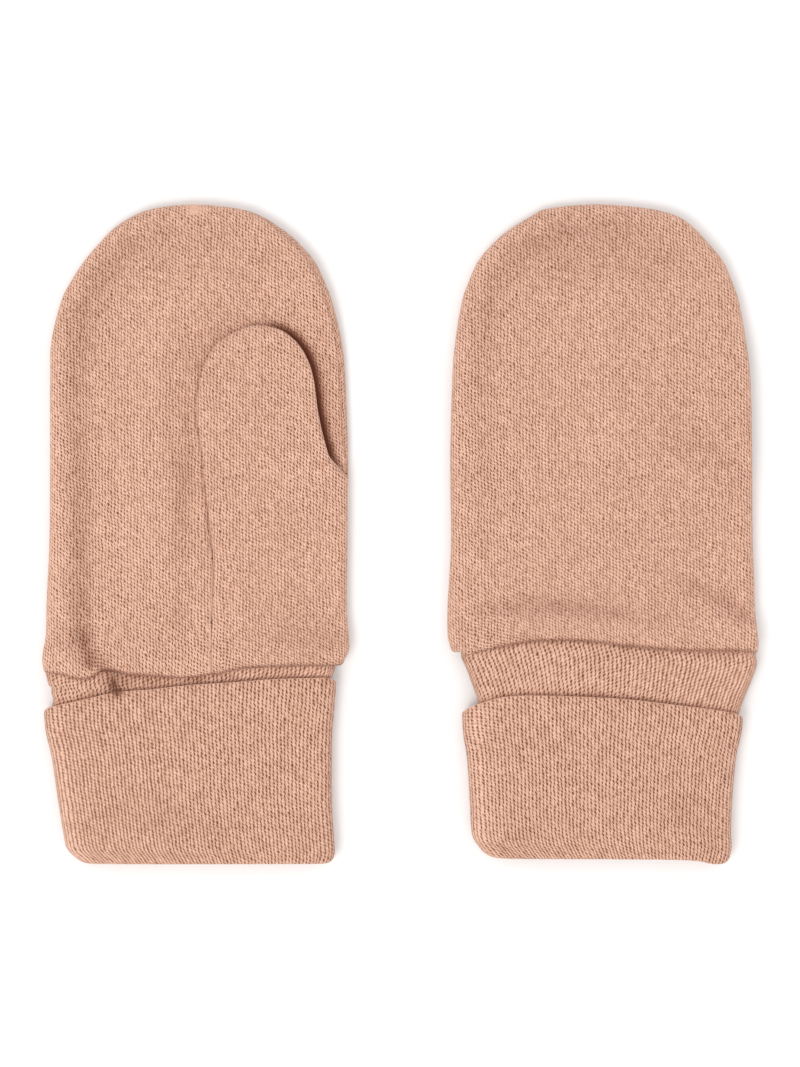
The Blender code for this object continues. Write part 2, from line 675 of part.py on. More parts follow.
def main():
    for thing in list(bpy.data.objects):
        bpy.data.objects.remove(thing, do_unlink=True)
    parts = bpy.data.collections.new("wool_mittens")
    cutters = bpy.data.collections.new("cutters")
    bpy.context.scene.collection.children.link(parts)
    bpy.context.scene.collection.children.link(cutters)
    for mitten in (RIGHT, LEFT):
        build_mitten(mitten, parts, cutters)


main()
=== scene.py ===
import math

import bmesh
import bpy
import numpy as np
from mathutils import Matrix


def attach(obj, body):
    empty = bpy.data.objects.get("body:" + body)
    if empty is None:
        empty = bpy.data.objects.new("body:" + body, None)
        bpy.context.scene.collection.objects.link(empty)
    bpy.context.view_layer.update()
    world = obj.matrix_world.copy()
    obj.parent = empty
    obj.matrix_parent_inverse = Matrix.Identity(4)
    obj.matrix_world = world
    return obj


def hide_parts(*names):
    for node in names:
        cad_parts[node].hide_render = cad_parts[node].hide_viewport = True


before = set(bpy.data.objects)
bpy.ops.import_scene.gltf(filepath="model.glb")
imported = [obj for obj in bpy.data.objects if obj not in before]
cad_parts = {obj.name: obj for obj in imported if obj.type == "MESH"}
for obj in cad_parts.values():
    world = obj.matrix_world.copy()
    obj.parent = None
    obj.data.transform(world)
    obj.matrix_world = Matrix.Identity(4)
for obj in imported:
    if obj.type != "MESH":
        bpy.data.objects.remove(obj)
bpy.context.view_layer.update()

# Sizes in millimetres
MM = 0.001
HALF_SPACING = 52.5  # from the middle of the pair to the middle of each mitten
HAND_WALL = 1.1  # knit of the hand and thumb
THUMB_BACK_WALL = 1.0
CUFF_WALL = 1.4  # ribbed knit of the cuff
SEAM_GAP = 0.05  # between panels that are sewn together
THUMB_GAP = 0.3  # from the thumb's outline to its inner side's rim
LAP_GAP = 0.35  # between panels that lie on each other
HAND_DEPTH = 5.8  # the empty hand, outside to outside
WRIST_DEPTH = 7.7  # at the wrist and along the turned-up cuff
WRIST_FLAT = 4.0  # how far the full wrist depth runs up the hand
WRIST_EASE = 8.0  # and how far it takes to fall to the hand's depth
WRIST_RELIEF = 0.4  # share of the creases' depth left at the wrist
CROWN = 0.3  # soft doming of the upper panel
CROWN_REACH = 38.0  # from a mitten's middle to where its doming ends
EDGE_DROP = 0.9  # how far the upper panel falls away towards its sides
EDGE_REACH = 5.0
SIDE_RADIUS = 3.0  # rounding of the hand's sides, seen from above
CORNER_ROUND = 0.4  # how far its lower corners are drawn in
CORNER_SPAN = (-0.5, 2.0)  # from where to where above its base
LIP_RADIUS = 1.5  # roll of the hand's lower edge over the wrist seam
LIP_TAILS = (0.4, 0.2)  # how much further in the rows at its rim lie
LIP_KNIT = 1.3  # knit on the roll, as a share of its drop
TUBE_REACH = 5.5  # how far the cuff runs up inside the hand
TUBE_INSET = 2.0  # and how far inside the wrist's outline it lies
FOLD_RADIUS = TUBE_INSET / 2
FOLD_TURNS = (20, 160)  # first and last angle of the fold's rows
FOLD_CROWN = 0.4  # share of the cuff's doming at the bottom fold
CROWN_GAIN = 8.0  # how soon above the fold it is full
CUFF_CROWN = 0.5
CORNER_EASE = 2.5  # how much sooner the cuff's inner layer rounds its lower corners
HEM_EASE = 3.0  # how far below its free edge the cuff's layers come together
HEM_DIP = 0.45  # how far the free edge sinks towards the wrist
HEM_DIP_REACH = 3.0
HEM_ROLL = 0.5  # how far below its free edge the cuff starts to round off
HEM_ROWS = ((0.25, 0.05), (0.45, 0.15))  # its last rows, up and in from there
BAND_RISE = 0.8  # how far the wrist puffs out between the hand and the cuff
BAND_EASE = 2.5  # how soon, from either edge
BAND_SIDE = 1.5  # how soon above the middle height
THUMB_PRESS = 1.5  # how far the palm gives way to the thumb lying on it
THUMB_STAND = 1.6  # how far the thumb then stands over the palm around it
THUMB_LIFT = THUMB_PRESS + THUMB_STAND
THUMB_SHOWS = 0.9  # how far the back swells over the thumb beneath it
THUMB_SWELL = (-6.0, 20.0)  # where, outside the thumb's outline, that fades
THUMB_RADIUS = 1.6  # rounding of the thumb's free edge
THUMB_MARGIN = 5.0  # level ground left round the thumb
THUMB_RAMP = 6.0  # and the slope beyond it
BASE_EASE = 9.0  # slope of the thumb's root below its base line
BASE_LINE = ((3.3, -12.0), (36.0, 19.6))
SEAM_X = 3.6  # the upright seam, from the mitten's middle
SEAM_EASE = 4.0  # how soon the thumb's rise is felt beside it
SEAM_TOP = (-13.0, 5.0)  # where that seam starts to lift into the thumb's edge, and ends
SEAM_ANGLE = math.radians(8)
SEAM_SNAP_TOP = -1.0  # how far up a column of the palm's grid follows it
SEAM_GROOVE = ((0.12, 0.5), (0.06, 1.4))  # how deep and how wide panels sink into a seam
CROTCH_Y = (15.0, 20.0)  # where the thumb leaves the side seam, and is clear of it
CROTCH_TURN = 9.0  # over what height its rounding turns from level to square to its edge
WAVE_REACH = 24.0  # how far up the hand the shape of its lower edge is felt
RIM_RADIUS = 0.15  # rounding of the cloth's cut edges
RIM_ANGLE = math.radians(60)
WELD = 0.01  # nearer points are one
FAR = 60.0  # a place beyond either side, or a level below any row

# Fineness of the cloth's mesh
STEP = 0.75
HAND_SPAN = 78.0  # width shared out in steps, of the hand, the thumb and the cuff
THUMB_SPAN = 32.0
CUFF_SPAN = 72.0
SIDE_STEPS = 14
SIDE_BIAS = 1.25  # above 1: steps are finer towards the seam
TIP_ROOM = 0.12  # left free below the tip
LIP_STEPS = 7
THUMB_BACK_STEPS = 80
TUBE_ROWS = 66  # rows of the cuff inside, round the bottom fold and outside
FOLD_ROWS = 8
TURNED_ROWS = 58
CUFF_SIDE_STEPS = 13
RIB_ROW = 90  # the row that lays out the cuff's ribs
NO_SEAM = 9.0  # distance that stands for no seam near

# Painted shade and painted light on the knit: how strong and how wide
SEAM_SHADE = (0.22, 0.4)
CREASE_SHADE = 0.11  # by the millimetre of depth
HAND_EDGE_SHADE = (0.42, 0.6)
HAND_EDGE_RISE = 0.2  # how far above the hand's lower edge that lies
RIM_LIGHT = (0.25, 1.6)  # all round the upper panel
ROLL_LIGHT = (0.1, 1.6)  # on the thumb's rolled left edge
TIP_LIGHT = (0.35, 1.4)  # on its free edge
TIP_SPAN = (14.0, 20.0)  # from the one to the other
TIP_EASE = 4.0
THUMB_SHADES = ((1.2, 1.5), (0.05, 3.5))  # on the palm, beside the thumb's free edge
FREE_ACROSS = (16.0, 25.0)  # where that edge starts to be free, across and along
FREE_ALONG = (15.0, 22.0)
THUMB_LEFT_SHADE = (0.05, 1.2)  # and beside its left edge
THUMB_LEFT_SPAN = (-14.0, 6.0)
BAND_SHADE = (0.25, 0.4)  # on the wrist, under the hand's lower edge
BAND_LIGHT = 0.05
HEM_SHADE = (0.2, 0.6)  # on the wrist at the cuff's free edge, and on that edge
HEM_LIP_SHADE = (0.05, 0.4)
HEM_LIGHT = 1.9  # share of both taken off towards the left
HEM_LIGHT_SPAN = (6.0, 28.0)

# The knit: its columns and rows, its slits' half sizes as shares of a stitch, and its tones
COURSE = 0.93
HAND_KNIT = {"wale": 0.83, "slant": 0.45, "slit": (0.16, 0.40), "drift": 1.0,
             "light": 0.68, "dark": 0.62, "stitch": 0.46, "furrow": 0.16}
CUFF_KNIT = {"wale": 0.945, "slant": 0.25, "slit": (0.15, 0.42), "drift": 0.5,
             "light": 0.69, "dark": 0.54, "stitch": 0.34, "furrow": 0.26}
KNIT_FINISH = {"Roughness": 0.92, "Specular IOR Level": 0.18, "Sheen Weight": 0.12,
               "Sheen Roughness": 0.5}
# scale, detail and roughness of the noises
DRIFT_NOISE = (0.16, 3.0, 0.5)
JITTER_NOISE = (0.9, 1.0, 0.5)
FIBRE_NOISE = (2.6, 3.0, 0.75)
PATCH_NOISE = (0.09, 1.0, 0.5)
JITTER = (0.45, 0.6, 0.0)  # how far stitches stray, across and along
FIBRE_STRETCH = (1.5, 0.8, 1.0)
SLIT_DEPTH = (0.4, 1.2)  # the least, and what chance adds
NOISE_SHARES = (0.34, 0.85, 0.05)  # parts of chance, fibres and patches in the tone
SHADE_DARKENS, SHADE_COLOURS = 0.5, 0.8  # a shade's part in the tone, and in the hue
FIBRE_HEIGHT = 0.4
BUMP_STRENGTH = 0.8
BUMP_DEPTH = 0.25
# Screen colours of the yarn, from dark to light, and the colour painted where deep shadow falls
YARN = ((0.0, (128, 78, 53)), (0.5, (210, 161, 136)), (1.0, (255, 209, 186)))
PAINTED_SHADOW_YARN = (98, 48, 30)
PIECE_TONES = {"palm": 0.96, "back": 0.955, "thumb_front": 0.96, "thumb_back": 0.92, "cuff": 0.95}

# The thumb's outline: level, left, right. Its right side is the hand's up to the crotch.
THUMB_ROWS = (
    (-24, 3.6, None),
    (-15.5, 3.9, None),
    (-9.5, 4.1, None),
    (1.5, 3.1, None),
    (13, 1.8, None),
    (17, 1.5, 36.9),
    (19.1, 1.3, 35.1),
    (20.6, 1.1, 34.1),
    (26.5, 0.2, 32.5),
    (32.5, -0.3, 31.3),
    (39.5, 0.4, 30.4),
    (44.5, 2, 29),
    (48.5, 4.2, 26.8),
    (51.3, 7.6, 24.1),
    (53.2, 11.6, 20.8),
)
THUMB_TIP = (15.6, 54.2)
THUMB_ROUND = (14.9, 39, 15.3)  # the round of its end: across, level, radius
# Rows of the thumb's inner side: level on its left, on its right
THUMB_BACK_ROWS = ((-1, 20.3), (3.5, 24), (9, 28), (15, 32), (21.5, 36), (28.5, 40),
                   (36, 43.5), (43, 46.5), (48, 49.5), (51.5, 51.8), (53.3, 53.3))
# Corners of the thumb's opening in the palm: level, across
OPENING = ((-FAR, 3.5), (-24, 3.5), (-15.5, 3.8), (-9.5, 4), (-2, 3.4), (-8, 5.6),
           (-13, 8), (-10, 14), (5, 28), (12, 31.5), (16.5, 34.5), (15.5, 38),
           (15, 48), (-FAR, 48))


class Mitten:
    """One mitten's own sizes, in millimetres from its middle."""


RIGHT = Mitten()
RIGHT.name = "right"
RIGHT.middle = -HALF_SPACING
RIGHT.palm_up = True
RIGHT.tip = (-1, 85.7)
# level, left, right
RIGHT.outline = (
    (-34.4, -40.6, 38.6),
    (-30.5, -40.3, 39.5),
    (-26, -39.6, 39.2),
    (-17.5, -39.4, 38.8),
    (-2, -38.7, 39),
    (19, -38.5, 39),
    (39.5, -38.5, 38.3),
    (50, -38.2, 37.3),
    (60.5, -35.6, 34.8),
    (65.7, -33, 32.8),
    (70.9, -29.6, 30.2),
    (76, -25.2, 25.7),
    (79.2, -22.1, 21.8),
    (82.3, -17.4, 16.9),
    (84.5, -11.8, 10.8),
)
# place across, level of the hand's lower edge on the upper panel
RIGHT.hand_edge = ((-40, -36.3), (-34.3, -36.8), (-31.5, -37.8), (-27.8, -37.6), (-25, -36),
                   (-22.5, -35.8), (-19, -36.5), (-11.2, -37.2), (-2.9, -37.7), (3.6, -36.8),
                   (7.3, -36), (13.2, -35), (26, -34.5), (36, -34.5), (39, -34.2))
RIGHT.hidden_edge = ((-40, -36.3), (0, -36), (39, -34.2))
# place across, level of the turned-up cuff's free edge
RIGHT.hem = ((-39.9, -47.4), (-38.9, -46.1), (-36.9, -45), (-31.6, -43.8), (-21.1, -41.4),
             (-12.7, -40.7), (-2.1, -39.5), (9.1, -38.8), (19, -38), (29.1, -37.7),
             (34.3, -37.7), (36, -39.2))
RIGHT.hidden_hem = ((-39.9, -46.4), (-36, -45), (-15, -43), (15, -41), (36, -39.2))
# place across, level of the bottom fold
RIGHT.fold = ((-34, -84.9), (-27, -85.6), (0, -85.7), (32, -85.6), (35.5, -85.2))
# level, left, right of the wrist band outside
RIGHT.wrist = ((-30, -38.8, 36), (-35.6, -39.5, 35.4), (-37.2, -39.3, 34.2),
               (-38.9, -38.9, 33.6), (-41.5, -38, 33.4), (-46, -36.4, 33.3))
# level, left, right of the cuff outside
RIGHT.cuff = ((-39, -40.1, 36), (-46.4, -40, 35.4), (-52.6, -39.5, 34.9),
              (-59.2, -38, 34.8), (-69.6, -36.4, 34.8), (-79, -34.8, 35.4),
              (-81.5, -34.1, 35.6), (-83, -32.2, 35.5), (-85, -29.5, 34.9))
# level, rise of the right side's outermost line
RIGHT.side_rise = ((-FAR, 0), (12, 0), (21, -0.8), (34, -0.9), (44, -0.8), (52, -0.4),
                   (62, 0))
# level, then how far the left and right side seams show above the outermost line, in degrees
RIGHT.seam_turn = ((-FAR, -18, 0), (10, -18, 0), (24, -18, 50), (40, -18, 58),
                   (70, -18, 58), (80, -18, 45), (84, -5, 10), (86, 0, 0))
# start across, start level, end across, end level, half width, depth
RIGHT.troughs = (
    (-8, 80.6, -15.1, 77.4, 3, 0.3),
    (-15.1, 77.4, -24.2, 69.6, 3, 0.7),
    (-24.2, 69.6, -30.7, 57.9, 3.2, 1),
    (-30.7, 57.9, -31.5, 37, 3.2, 1.2),
    (-31.5, 37, -30.7, 11, 3.2, 1.15),
    (-30.7, 11, -30.2, -15, 3, 1.45),
    (-30.2, -15, -29.9, -27, 2.8, 1.8),
    (-29.9, -27, -27.8, -33.6, 2.2, 1.7),
    (-0.8, 50, -2.1, 24, 2.6, 0.6),
    (-2.1, 24, -4.2, -2, 2.6, 0.7),
    (-4.2, -2, -4.7, -22.8, 2.6, 0.6),
)
# the same, for what stands up
RIGHT.ridges = (
    (-36, 40, -36, -20, 3, 0.5),
    (0.3, -8, 0.3, -34, 1.6, 0.35),
    (-0.9, 24, -0.6, 42, 1.6, 0.8),
    (1.8, 2, 0, 24, 1.6, 0.8),
    (-33.5, -31.5, -33, -35, 3, 0.8),
)
# the same, for painted shade (below 0: painted light)
RIGHT.tones = (
    (-29.8, -26, -28.2, -33, 1.8, 0.16),
    (-27.8, -33.6, -25, -34.2, 1.2, 0.15),
    (-24.5, -35.4, -20.5, -35.9, 0.7, 0.35),
    (33.5, 50, 36.5, 24, 2.5, 0.04),
    (-26.3, -31, -23.5, -34, 2.2, 0.12),
    (-24, 64, -28.5, 50, 4.5, 0.05),
    (-20, 71, 6, 77, 8, 0.05),
    (-12, 60, -13, -5, 8, -0.06),
    (-1, 34, -3, 12, 2, 0.06),
    (26, -24, 36, -28, 6, 0.08),
)
# painted shade on the wrist and cuff (below 0: painted light)
RIGHT.cuff_tones = (
    (-21.8, -39.2, -20.7, -41.2, 1.4, 0.70),
    (-24.5, -38.5, -18.5, -39.5, 2.2, 0.14),
    (-24.5, -36.6, -10, -38.4, 1.6, 0.16),
    (-38.5, -52, -32, -83, 4, -0.18),
    (-30, -83, -22, -85, 4, -0.10),
    (-10, -74, 6, -76, 5, 0.05),
)
# the same, for what stands up or sinks (below 0) on the wrist band
RIGHT.band = (
    (-35.5, -40, -27, -40.5, 4.5, 0.7),
    (-21.8, -37, -20.9, -43, 1.3, -1.4),
)

LEFT = Mitten()
LEFT.name = "left"
LEFT.middle = HALF_SPACING
LEFT.palm_up = False
LEFT.tip = (-1.6, 85.7)
LEFT.outline = (
    (-29.4, -39.8, 41),
    (-26, -40.2, 40.5),
    (-19, -40.2, 39.9),
    (-12, -39.8, 39.7),
    (-2, -39.3, 39.3),
    (19, -39.5, 39),
    (39.5, -39, 38.5),
    (50, -38.2, 37.4),
    (60.5, -36.4, 35.6),
    (65.7, -34.6, 33.8),
    (70.9, -32.2, 31.5),
    (76, -27.8, 27.3),
    (79.2, -23.9, 24.3),
    (82.3, -18.9, 20.2),
    (84.5, -14.4, 12.6),
)
LEFT.hand_edge = ((-39.6, -31), (-36, -32.2), (-33.5, -31.6), (-27.8, -30), (-19.2, -28.3),
                  (-9.4, -27.9), (-1.3, -28.3), (6, -29.2), (14.6, -30), (22.1, -30.4),
                  (36.4, -30.6), (39.8, -31.2))
LEFT.hidden_edge = ((-39.6, -31), (0, -31.5), (39.8, -31.2))
LEFT.hem = ((-36.4, -47.2), (-34.3, -45.4), (-30.2, -43.8), (-25.5, -42.6), (-18.7, -42.2),
            (-9.9, -42.4), (-1.3, -42.7), (7.5, -43.3), (16.1, -44.3), (25, -45.4),
            (30.7, -46.2), (35.4, -47.2), (36.8, -48.8))
LEFT.hidden_hem = ((-36.4, -46.8), (-20, -44.5), (15, -45.5), (36.8, -48.7))
LEFT.fold = ((-34, -82.6), (-26.4, -84.2), (0, -84.4), (22, -84.7), (29, -85.7),
             (33.4, -85.5))
LEFT.wrist = ((-31.6, -36.6, 39.8), (-34.2, -35.4, 40.2), (-38.5, -33.9, 38.7),
              (-43.7, -32.2, 36.6), (-48.7, -33, 35))
LEFT.cuff = ((-46.8, -36.4, 36.8), (-52.6, -36.1, 36.2), (-59.2, -35.1, 34.8),
             (-69.6, -34.4, 33.8), (-77.5, -33.9, 33.5), (-80, -32.3, 33.6),
             (-82, -29.6, 33.6), (-84.4, -24.5, 33))
LEFT.side_rise = ((-FAR, 0), (2, 0), (15, 1.8), (21, 2.5), (34, 2.5), (44, 2.2), (52, 1.2),
                  (62, 0))
LEFT.seam_turn = ((-FAR, -15, 0), (20, -15, 0), (60, -15, -15), (86, 0, 0))
LEFT.troughs = (
    (-30.4, 0, -31, 30, 3.2, 0.35),
    (-31, 30, -31, 50, 3.2, 0.6),
    (-31, 50, -28.5, 64, 3.2, 0.9),
    (-28.5, 64, -21, 74.5, 3.2, 1),
    (-21, 74.5, -10, 79.5, 3, 0.9),
    (-10, 79.5, 6, 80.8, 3, 0.6),
    (-30.7, -19.9, -24, -18.8, 2.2, 0.7),
    (-24, -18.8, -19.2, -18.2, 2.3, 0.9),
    (-19.2, -18.2, -5, -18.8, 2.4, 0.9),
    (-5, -18.8, 5, -20.8, 2.4, 0.9),
    (5, -20.8, 13, -23, 2.2, 0.5),
    (20.3, -12.1, 30, -16, 2.2, 0.8),
    (30, -16, 38.5, -22.5, 2.2, 1.1),
)
LEFT.ridges = (
    (-26, -24.5, -6, -23.2, 2.8, 0.25),
    (-6, -23.2, 16, -26.5, 2.6, 0.4),
    (28, -21.5, 38, -27, 3, 0.5),
)
# painted shade on the back (below 0: painted light)
LEFT.tones = (
    (-12, 73, 10, 74, 8, 0.08),
    (0, 55, -2, 20, 10, -0.04),
    (20, 24, 34, 16, 6, 0.06),
    (-27, -27, -17, -26.5, 2, 0.10),
)
# painted shade on the cuff (below 0: painted light)
LEFT.cuff_tones = (
    (-34, -47, -31, -84, 4, -0.18),
    (-30, -46, -12, -45, 3, -0.05),
    (18, -70, 28, -76, 5, 0.05),
)
LEFT.band = ()


def smooth(t):
    """0 before 0, 1 after 1 and an even ease between."""
    t = np.clip(t, 0.0, 1.0)
    return t * t * (3 - 2 * t)


def eased(value, span):
    """0 before a span, 1 after it and an even ease between."""
    start, end = span
    return smooth((value - start) / (end - start))


def fade(distance, strength, reach):
    """A soft line's strength at a distance from its middle."""
    return strength * np.exp(-(distance / reach) ** 2)


def lerp(a, b, t):
    return a + (b - a) * t


def spline(points, beyond=None, steps=8):
    """A smooth line through points, heading for one beyond the last, read at even steps."""
    points = np.array(points, float)
    last = 2 * points[-1] - points[-2] if beyond is None else np.array(beyond, float)
    padded = np.vstack([2 * points[0] - points[1], points, last])
    line = []
    for before, start, end, after in zip(padded, padded[1:], padded[2:], padded[3:]):
        for t in np.arange(steps) / steps:
            line.append(0.5 * (2 * start + (end - before) * t
                               + (2 * before - 5 * start + 4 * end - after) * t ** 2
                               + (3 * start - before - 3 * end + after) * t ** 3))
    return np.array(line + [points[-1]])


def curve(rows, column=1):
    """A table's column as a smooth function of its first column."""
    points = sorted((row[0], row[column]) for row in rows)
    line = spline(points)
    keys = np.maximum.accumulate(line[:, 0])
    return lambda key: np.interp(key, keys, line[:, 1])


def straight(rows, column=1):
    """A table's column, straight between its rows."""
    points = np.array(sorted((row[0], row[column]) for row in rows), float)
    return lambda key: np.interp(key, points[:, 0], points[:, 1])


def with_inward(line, turn):
    """A side's line with the direction into the mitten along it."""
    run = np.gradient(line, axis=0)
    run /= np.linalg.norm(run, axis=1)[:, None]
    return line, np.stack([run[:, 1], -run[:, 0]], axis=1) * turn


def side_at(side, level):
    """The place and inward direction of a side at a level."""
    line, inward = side
    spot = np.array([np.interp(level, line[:, 1], line[:, 0]), level])
    into = np.array([np.interp(level, line[:, 1], inward[:, k]) for k in (0, 1)])
    return spot, into / np.linalg.norm(into)


def tip_at(tip):
    """The same at a tip, where both sides end."""
    return np.array(tip), np.array([0.0, -1.0])


def levels_along(side, low, high, step):
    """Levels between two, at even steps along a side's line."""
    line = side[0][(side[0][:, 1] > low) & (side[0][:, 1] < high)]
    line = np.vstack([side_at(side, low)[0], line, side_at(side, high)[0]])
    run = np.concatenate([[0], np.cumsum(np.linalg.norm(np.diff(line, axis=0), axis=1))])
    count = max(int(run[-1] / step), 2)
    return np.interp(np.linspace(0, run[-1], count + 1), run, line[:, 1])


def near_lines(lines, x, y):
    """The strongest of some soft lines at a place: each fades from its own middle."""
    found = np.zeros(np.broadcast(x, y).shape)
    for x0, y0, x1, y1, half_width, strength in lines:
        run_x, run_y = x1 - x0, y1 - y0
        t = np.clip(((x - x0) * run_x + (y - y0) * run_y) / (run_x ** 2 + run_y ** 2), 0, 1)
        away = np.hypot(x - x0 - run_x * t, y - y0 - run_y * t)
        found = np.maximum(found, fade(away, strength, half_width))
    return found


def sum_lines(lines, x, y):
    """The sum of some soft lines at a place, where their strengths may be below 0."""
    return sum(strength * near_lines([(*ends, half_width, 1.0)], x, y)
               for *ends, half_width, strength in lines)


def prepare(mitten):
    """The mitten's tables as functions."""
    mitten.edge = {True: curve(mitten.hand_edge), False: curve(mitten.hidden_edge)}
    mitten.hem_line = {True: curve(mitten.hem), False: curve(mitten.hidden_hem)}
    mitten.fold_line = curve(mitten.fold)
    mitten.wrist_side = {1: curve(mitten.wrist, 1), 2: curve(mitten.wrist, 2)}
    mitten.cuff_side = {1: curve(mitten.cuff, 1), 2: curve(mitten.cuff, 2)}
    mitten.rise = straight(mitten.side_rise)
    mitten.seams = {1: straight(mitten.seam_turn, 1), 2: straight(mitten.seam_turn, 2)}
    left = [(row[1], row[0]) for row in mitten.outline]
    right = [(row[2], row[0]) for row in mitten.outline]
    mitten.left_side = with_inward(spline(left + [mitten.tip], right[-1]), 1)
    mitten.right_side = with_inward(spline(right + [mitten.tip], left[-1]), -1)
    mitten.rim = np.vstack([mitten.left_side[0], mitten.right_side[0]])
    mitten.base = mitten.outline[0][0]


def hand_height(mitten, x, y):
    """Outside of the upper panel over the floor, without the thumb."""
    wrist = 1 - smooth((y - mitten.edge[True](x) - WRIST_FLAT) / WRIST_EASE)
    rest = 1 - wrist
    crown = CROWN * np.maximum(0.0, 1 - (x / CROWN_REACH) ** 2) * rest
    relief = near_lines(mitten.ridges, x, y) - near_lines(mitten.troughs, x, y)
    drop = EDGE_DROP * np.exp(-from_rim(mitten, x, y) / EDGE_REACH)
    return lerp(HAND_DEPTH, WRIST_DEPTH, wrist) + crown + relief * lerp(WRIST_RELIEF, 1, rest) - drop


def from_rim(mitten, x, y):
    """How far inside the hand's outline a place is."""
    spots = np.stack([np.atleast_1d(x), np.atleast_1d(y)], axis=-1)
    away = np.linalg.norm(spots[..., None, :] - mitten.rim, axis=-1).min(axis=-1)
    return away if np.ndim(x) else away[0]


def thumb_away(x, y):
    """How far outside the thumb's outline a place is."""
    rows = [(-FAR, SEAM_X, FAR)] + [(level, left, right or FAR) for level, left, right in THUMB_ROWS]
    round_x, round_y, radius = THUMB_ROUND
    beyond = np.hypot(x - round_x, y - round_y) - radius
    beside = np.maximum(straight(rows, 1)(y) - x, x - straight(rows, 2)(y))
    return np.where(y > round_y, beyond, beside)


def thumb_weight(x, y):
    """1 where the thumb lies on the palm, easing to 0 around it and at the upright seam."""
    seam = np.maximum(smooth((x - SEAM_X) / SEAM_EASE), eased(y, SEAM_TOP))
    return (1 - smooth((thumb_away(x, y) - THUMB_MARGIN) / THUMB_RAMP)) * seam


def base_weight(x, y):
    """1 above the thumb's base line, easing to 0 below it."""
    (x0, y0), (x1, y1) = BASE_LINE
    length = math.hypot(x1 - x0, y1 - y0)
    below = ((x - x0) * (y1 - y0) - (y - y0) * (x1 - x0)) / length
    return 1 - smooth(below / BASE_EASE)


def palm_height(mitten, x, y):
    """Outside of the palm over the floor."""
    weight = thumb_weight(x, y)
    if mitten.palm_up:
        return hand_height(mitten, x, y) - THUMB_PRESS * weight
    return THUMB_LIFT * weight


def back_height(mitten, x, y):
    """Outside of the back over the floor."""
    if mitten.palm_up:
        return np.zeros(np.broadcast(x, y).shape)
    return hand_height(mitten, x, y) + THUMB_SHOWS * (1 - eased(thumb_away(x, y), THUMB_SWELL))


def thumb_height(mitten, x, y):
    """Outside of the thumb front over the floor."""
    if not mitten.palm_up:
        return np.zeros(np.broadcast(x, y).shape)
    return hand_height(mitten, x, y) + THUMB_STAND * thumb_weight(x, y) * base_weight(x, y)


def side_level(mitten, level, on_right):
    """Height of the side's outermost line."""
    edge = mitten.hand_edge[-1] if on_right else mitten.hand_edge[0]
    wrist = 1 - smooth((level - edge[1] - WRIST_FLAT) / WRIST_EASE)
    rise = mitten.rise(level) if on_right else 0.0
    return lerp(HAND_DEPTH, WRIST_DEPTH, wrist) / 2 + rise


def wave_at(mitten, edge, level):
    """How far a row is moved along the hand to follow its lower edge's shape."""
    share = max(0.0, 1 - (level - mitten.base) / WAVE_REACH) ** 2
    return lambda x: share * (edge(x) + LIP_RADIUS - mitten.base)


def corner_inset(mitten, level):
    """How far in a row is drawn to round the hand's lower corners."""
    return CORNER_ROUND * (1 - eased(level - mitten.base, CORNER_SPAN))


def groove(arc):
    """How far a panel's edge sinks into its seam, by distance from it along the cloth."""
    return sum(fade(arc, depth, reach) for depth, reach in SEAM_GROOVE)


def side_section(spot, inward, radius, centre, face, other, seam):
    """A side's rounding from its seam to the level: points, knit places and seam distances.
    `seam` is the seam's angle from the outermost line towards this panel's face."""
    start = seam + SEAM_GAP / 2 / radius
    turns = start + (math.pi / 2 - start) * (np.arange(SIDE_STEPS) / SIDE_STEPS) ** SIDE_BIAS
    turns = np.append(turns, math.pi / 2)
    reach = np.where(turns >= 0, face - centre, centre - other)
    arc = radius * (turns - seam)
    sink = groove(arc)
    inset = radius * (1 - np.cos(turns)) + sink * np.cos(turns)
    height = centre + reach * np.sin(turns) - np.sign(face - centre) * sink * np.sin(turns)
    flat = spot + inward * inset[:, None]
    points = np.column_stack([flat, height])
    out = radius - radius * (math.pi / 2 - turns)
    knit = spot + inward * out[:, None]
    return points, knit, arc


def rolled_section(spot, inward, turn, face, out):
    """The thumb's left edge: from an upright seam (a small turn) to a free rounded edge."""
    radius = THUMB_RADIUS * (math.pi / 2) / turn
    steps = (np.arange(SIDE_STEPS + 1) / SIDE_STEPS) ** SIDE_BIAS
    angles = (turn - SEAM_GAP / 2 / radius) * (1 - steps)
    arc = radius * (turn - angles)
    sink = groove(arc)
    inset = radius * (math.sin(turn) - np.sin(angles)) + sink * np.sin(angles)
    height = face - out * (radius * (1 - np.cos(angles)) + sink * np.cos(angles))
    flat = spot + inward * inset[:, None]
    knit = spot + inward * (radius * math.sin(turn) - radius * angles)[:, None]
    return np.column_stack([flat, height]), knit, arc


def joined_row(left, right, wave, height, down, count):
    """One row from rim to rim: points, knit places, and distance from the nearest seam."""
    (left_points, left_knit, left_arc), left_shift = left
    (right_points, right_knit, right_arc), right_shift = right
    t = (np.arange(1, count) / count)[:, None]
    spots = left_points[-1, :2] * (1 - t) + right_points[-1, :2] * t
    knit = left_knit[-1] * (1 - t) + right_knit[-1] * t
    y = spots[:, 1] + wave(spots[:, 0])
    middle = np.column_stack([spots[:, 0], y - down, height(spots[:, 0], y)])
    left_points = left_points + [0, left_shift - down, 0]
    right_points = right_points + [0, right_shift - down, 0]
    points = np.vstack([left_points, middle, right_points[::-1]])
    knit = np.vstack([left_knit, knit, right_knit[::-1]])
    arc = np.concatenate([left_arc, np.full(count - 1, NO_SEAM), right_arc[::-1]])
    return points, knit - [0, down * LIP_KNIT], arc


def lip_rows():
    """The rolled lower edge, from its rim up: how far down, and how far in."""
    turns = np.radians(np.linspace(90, 90 / LIP_STEPS, LIP_STEPS))
    roll = [(LIP_RADIUS * math.sin(a), LIP_RADIUS * (1 - math.cos(a))) for a in turns]
    return [(LIP_RADIUS, LIP_RADIUS + tail) for tail in LIP_TAILS] + roll


def stacked(rows):
    """Rows of points, knit places and seam distances as three grids."""
    return [np.array([row[k] for row in rows]) for k in range(3)]


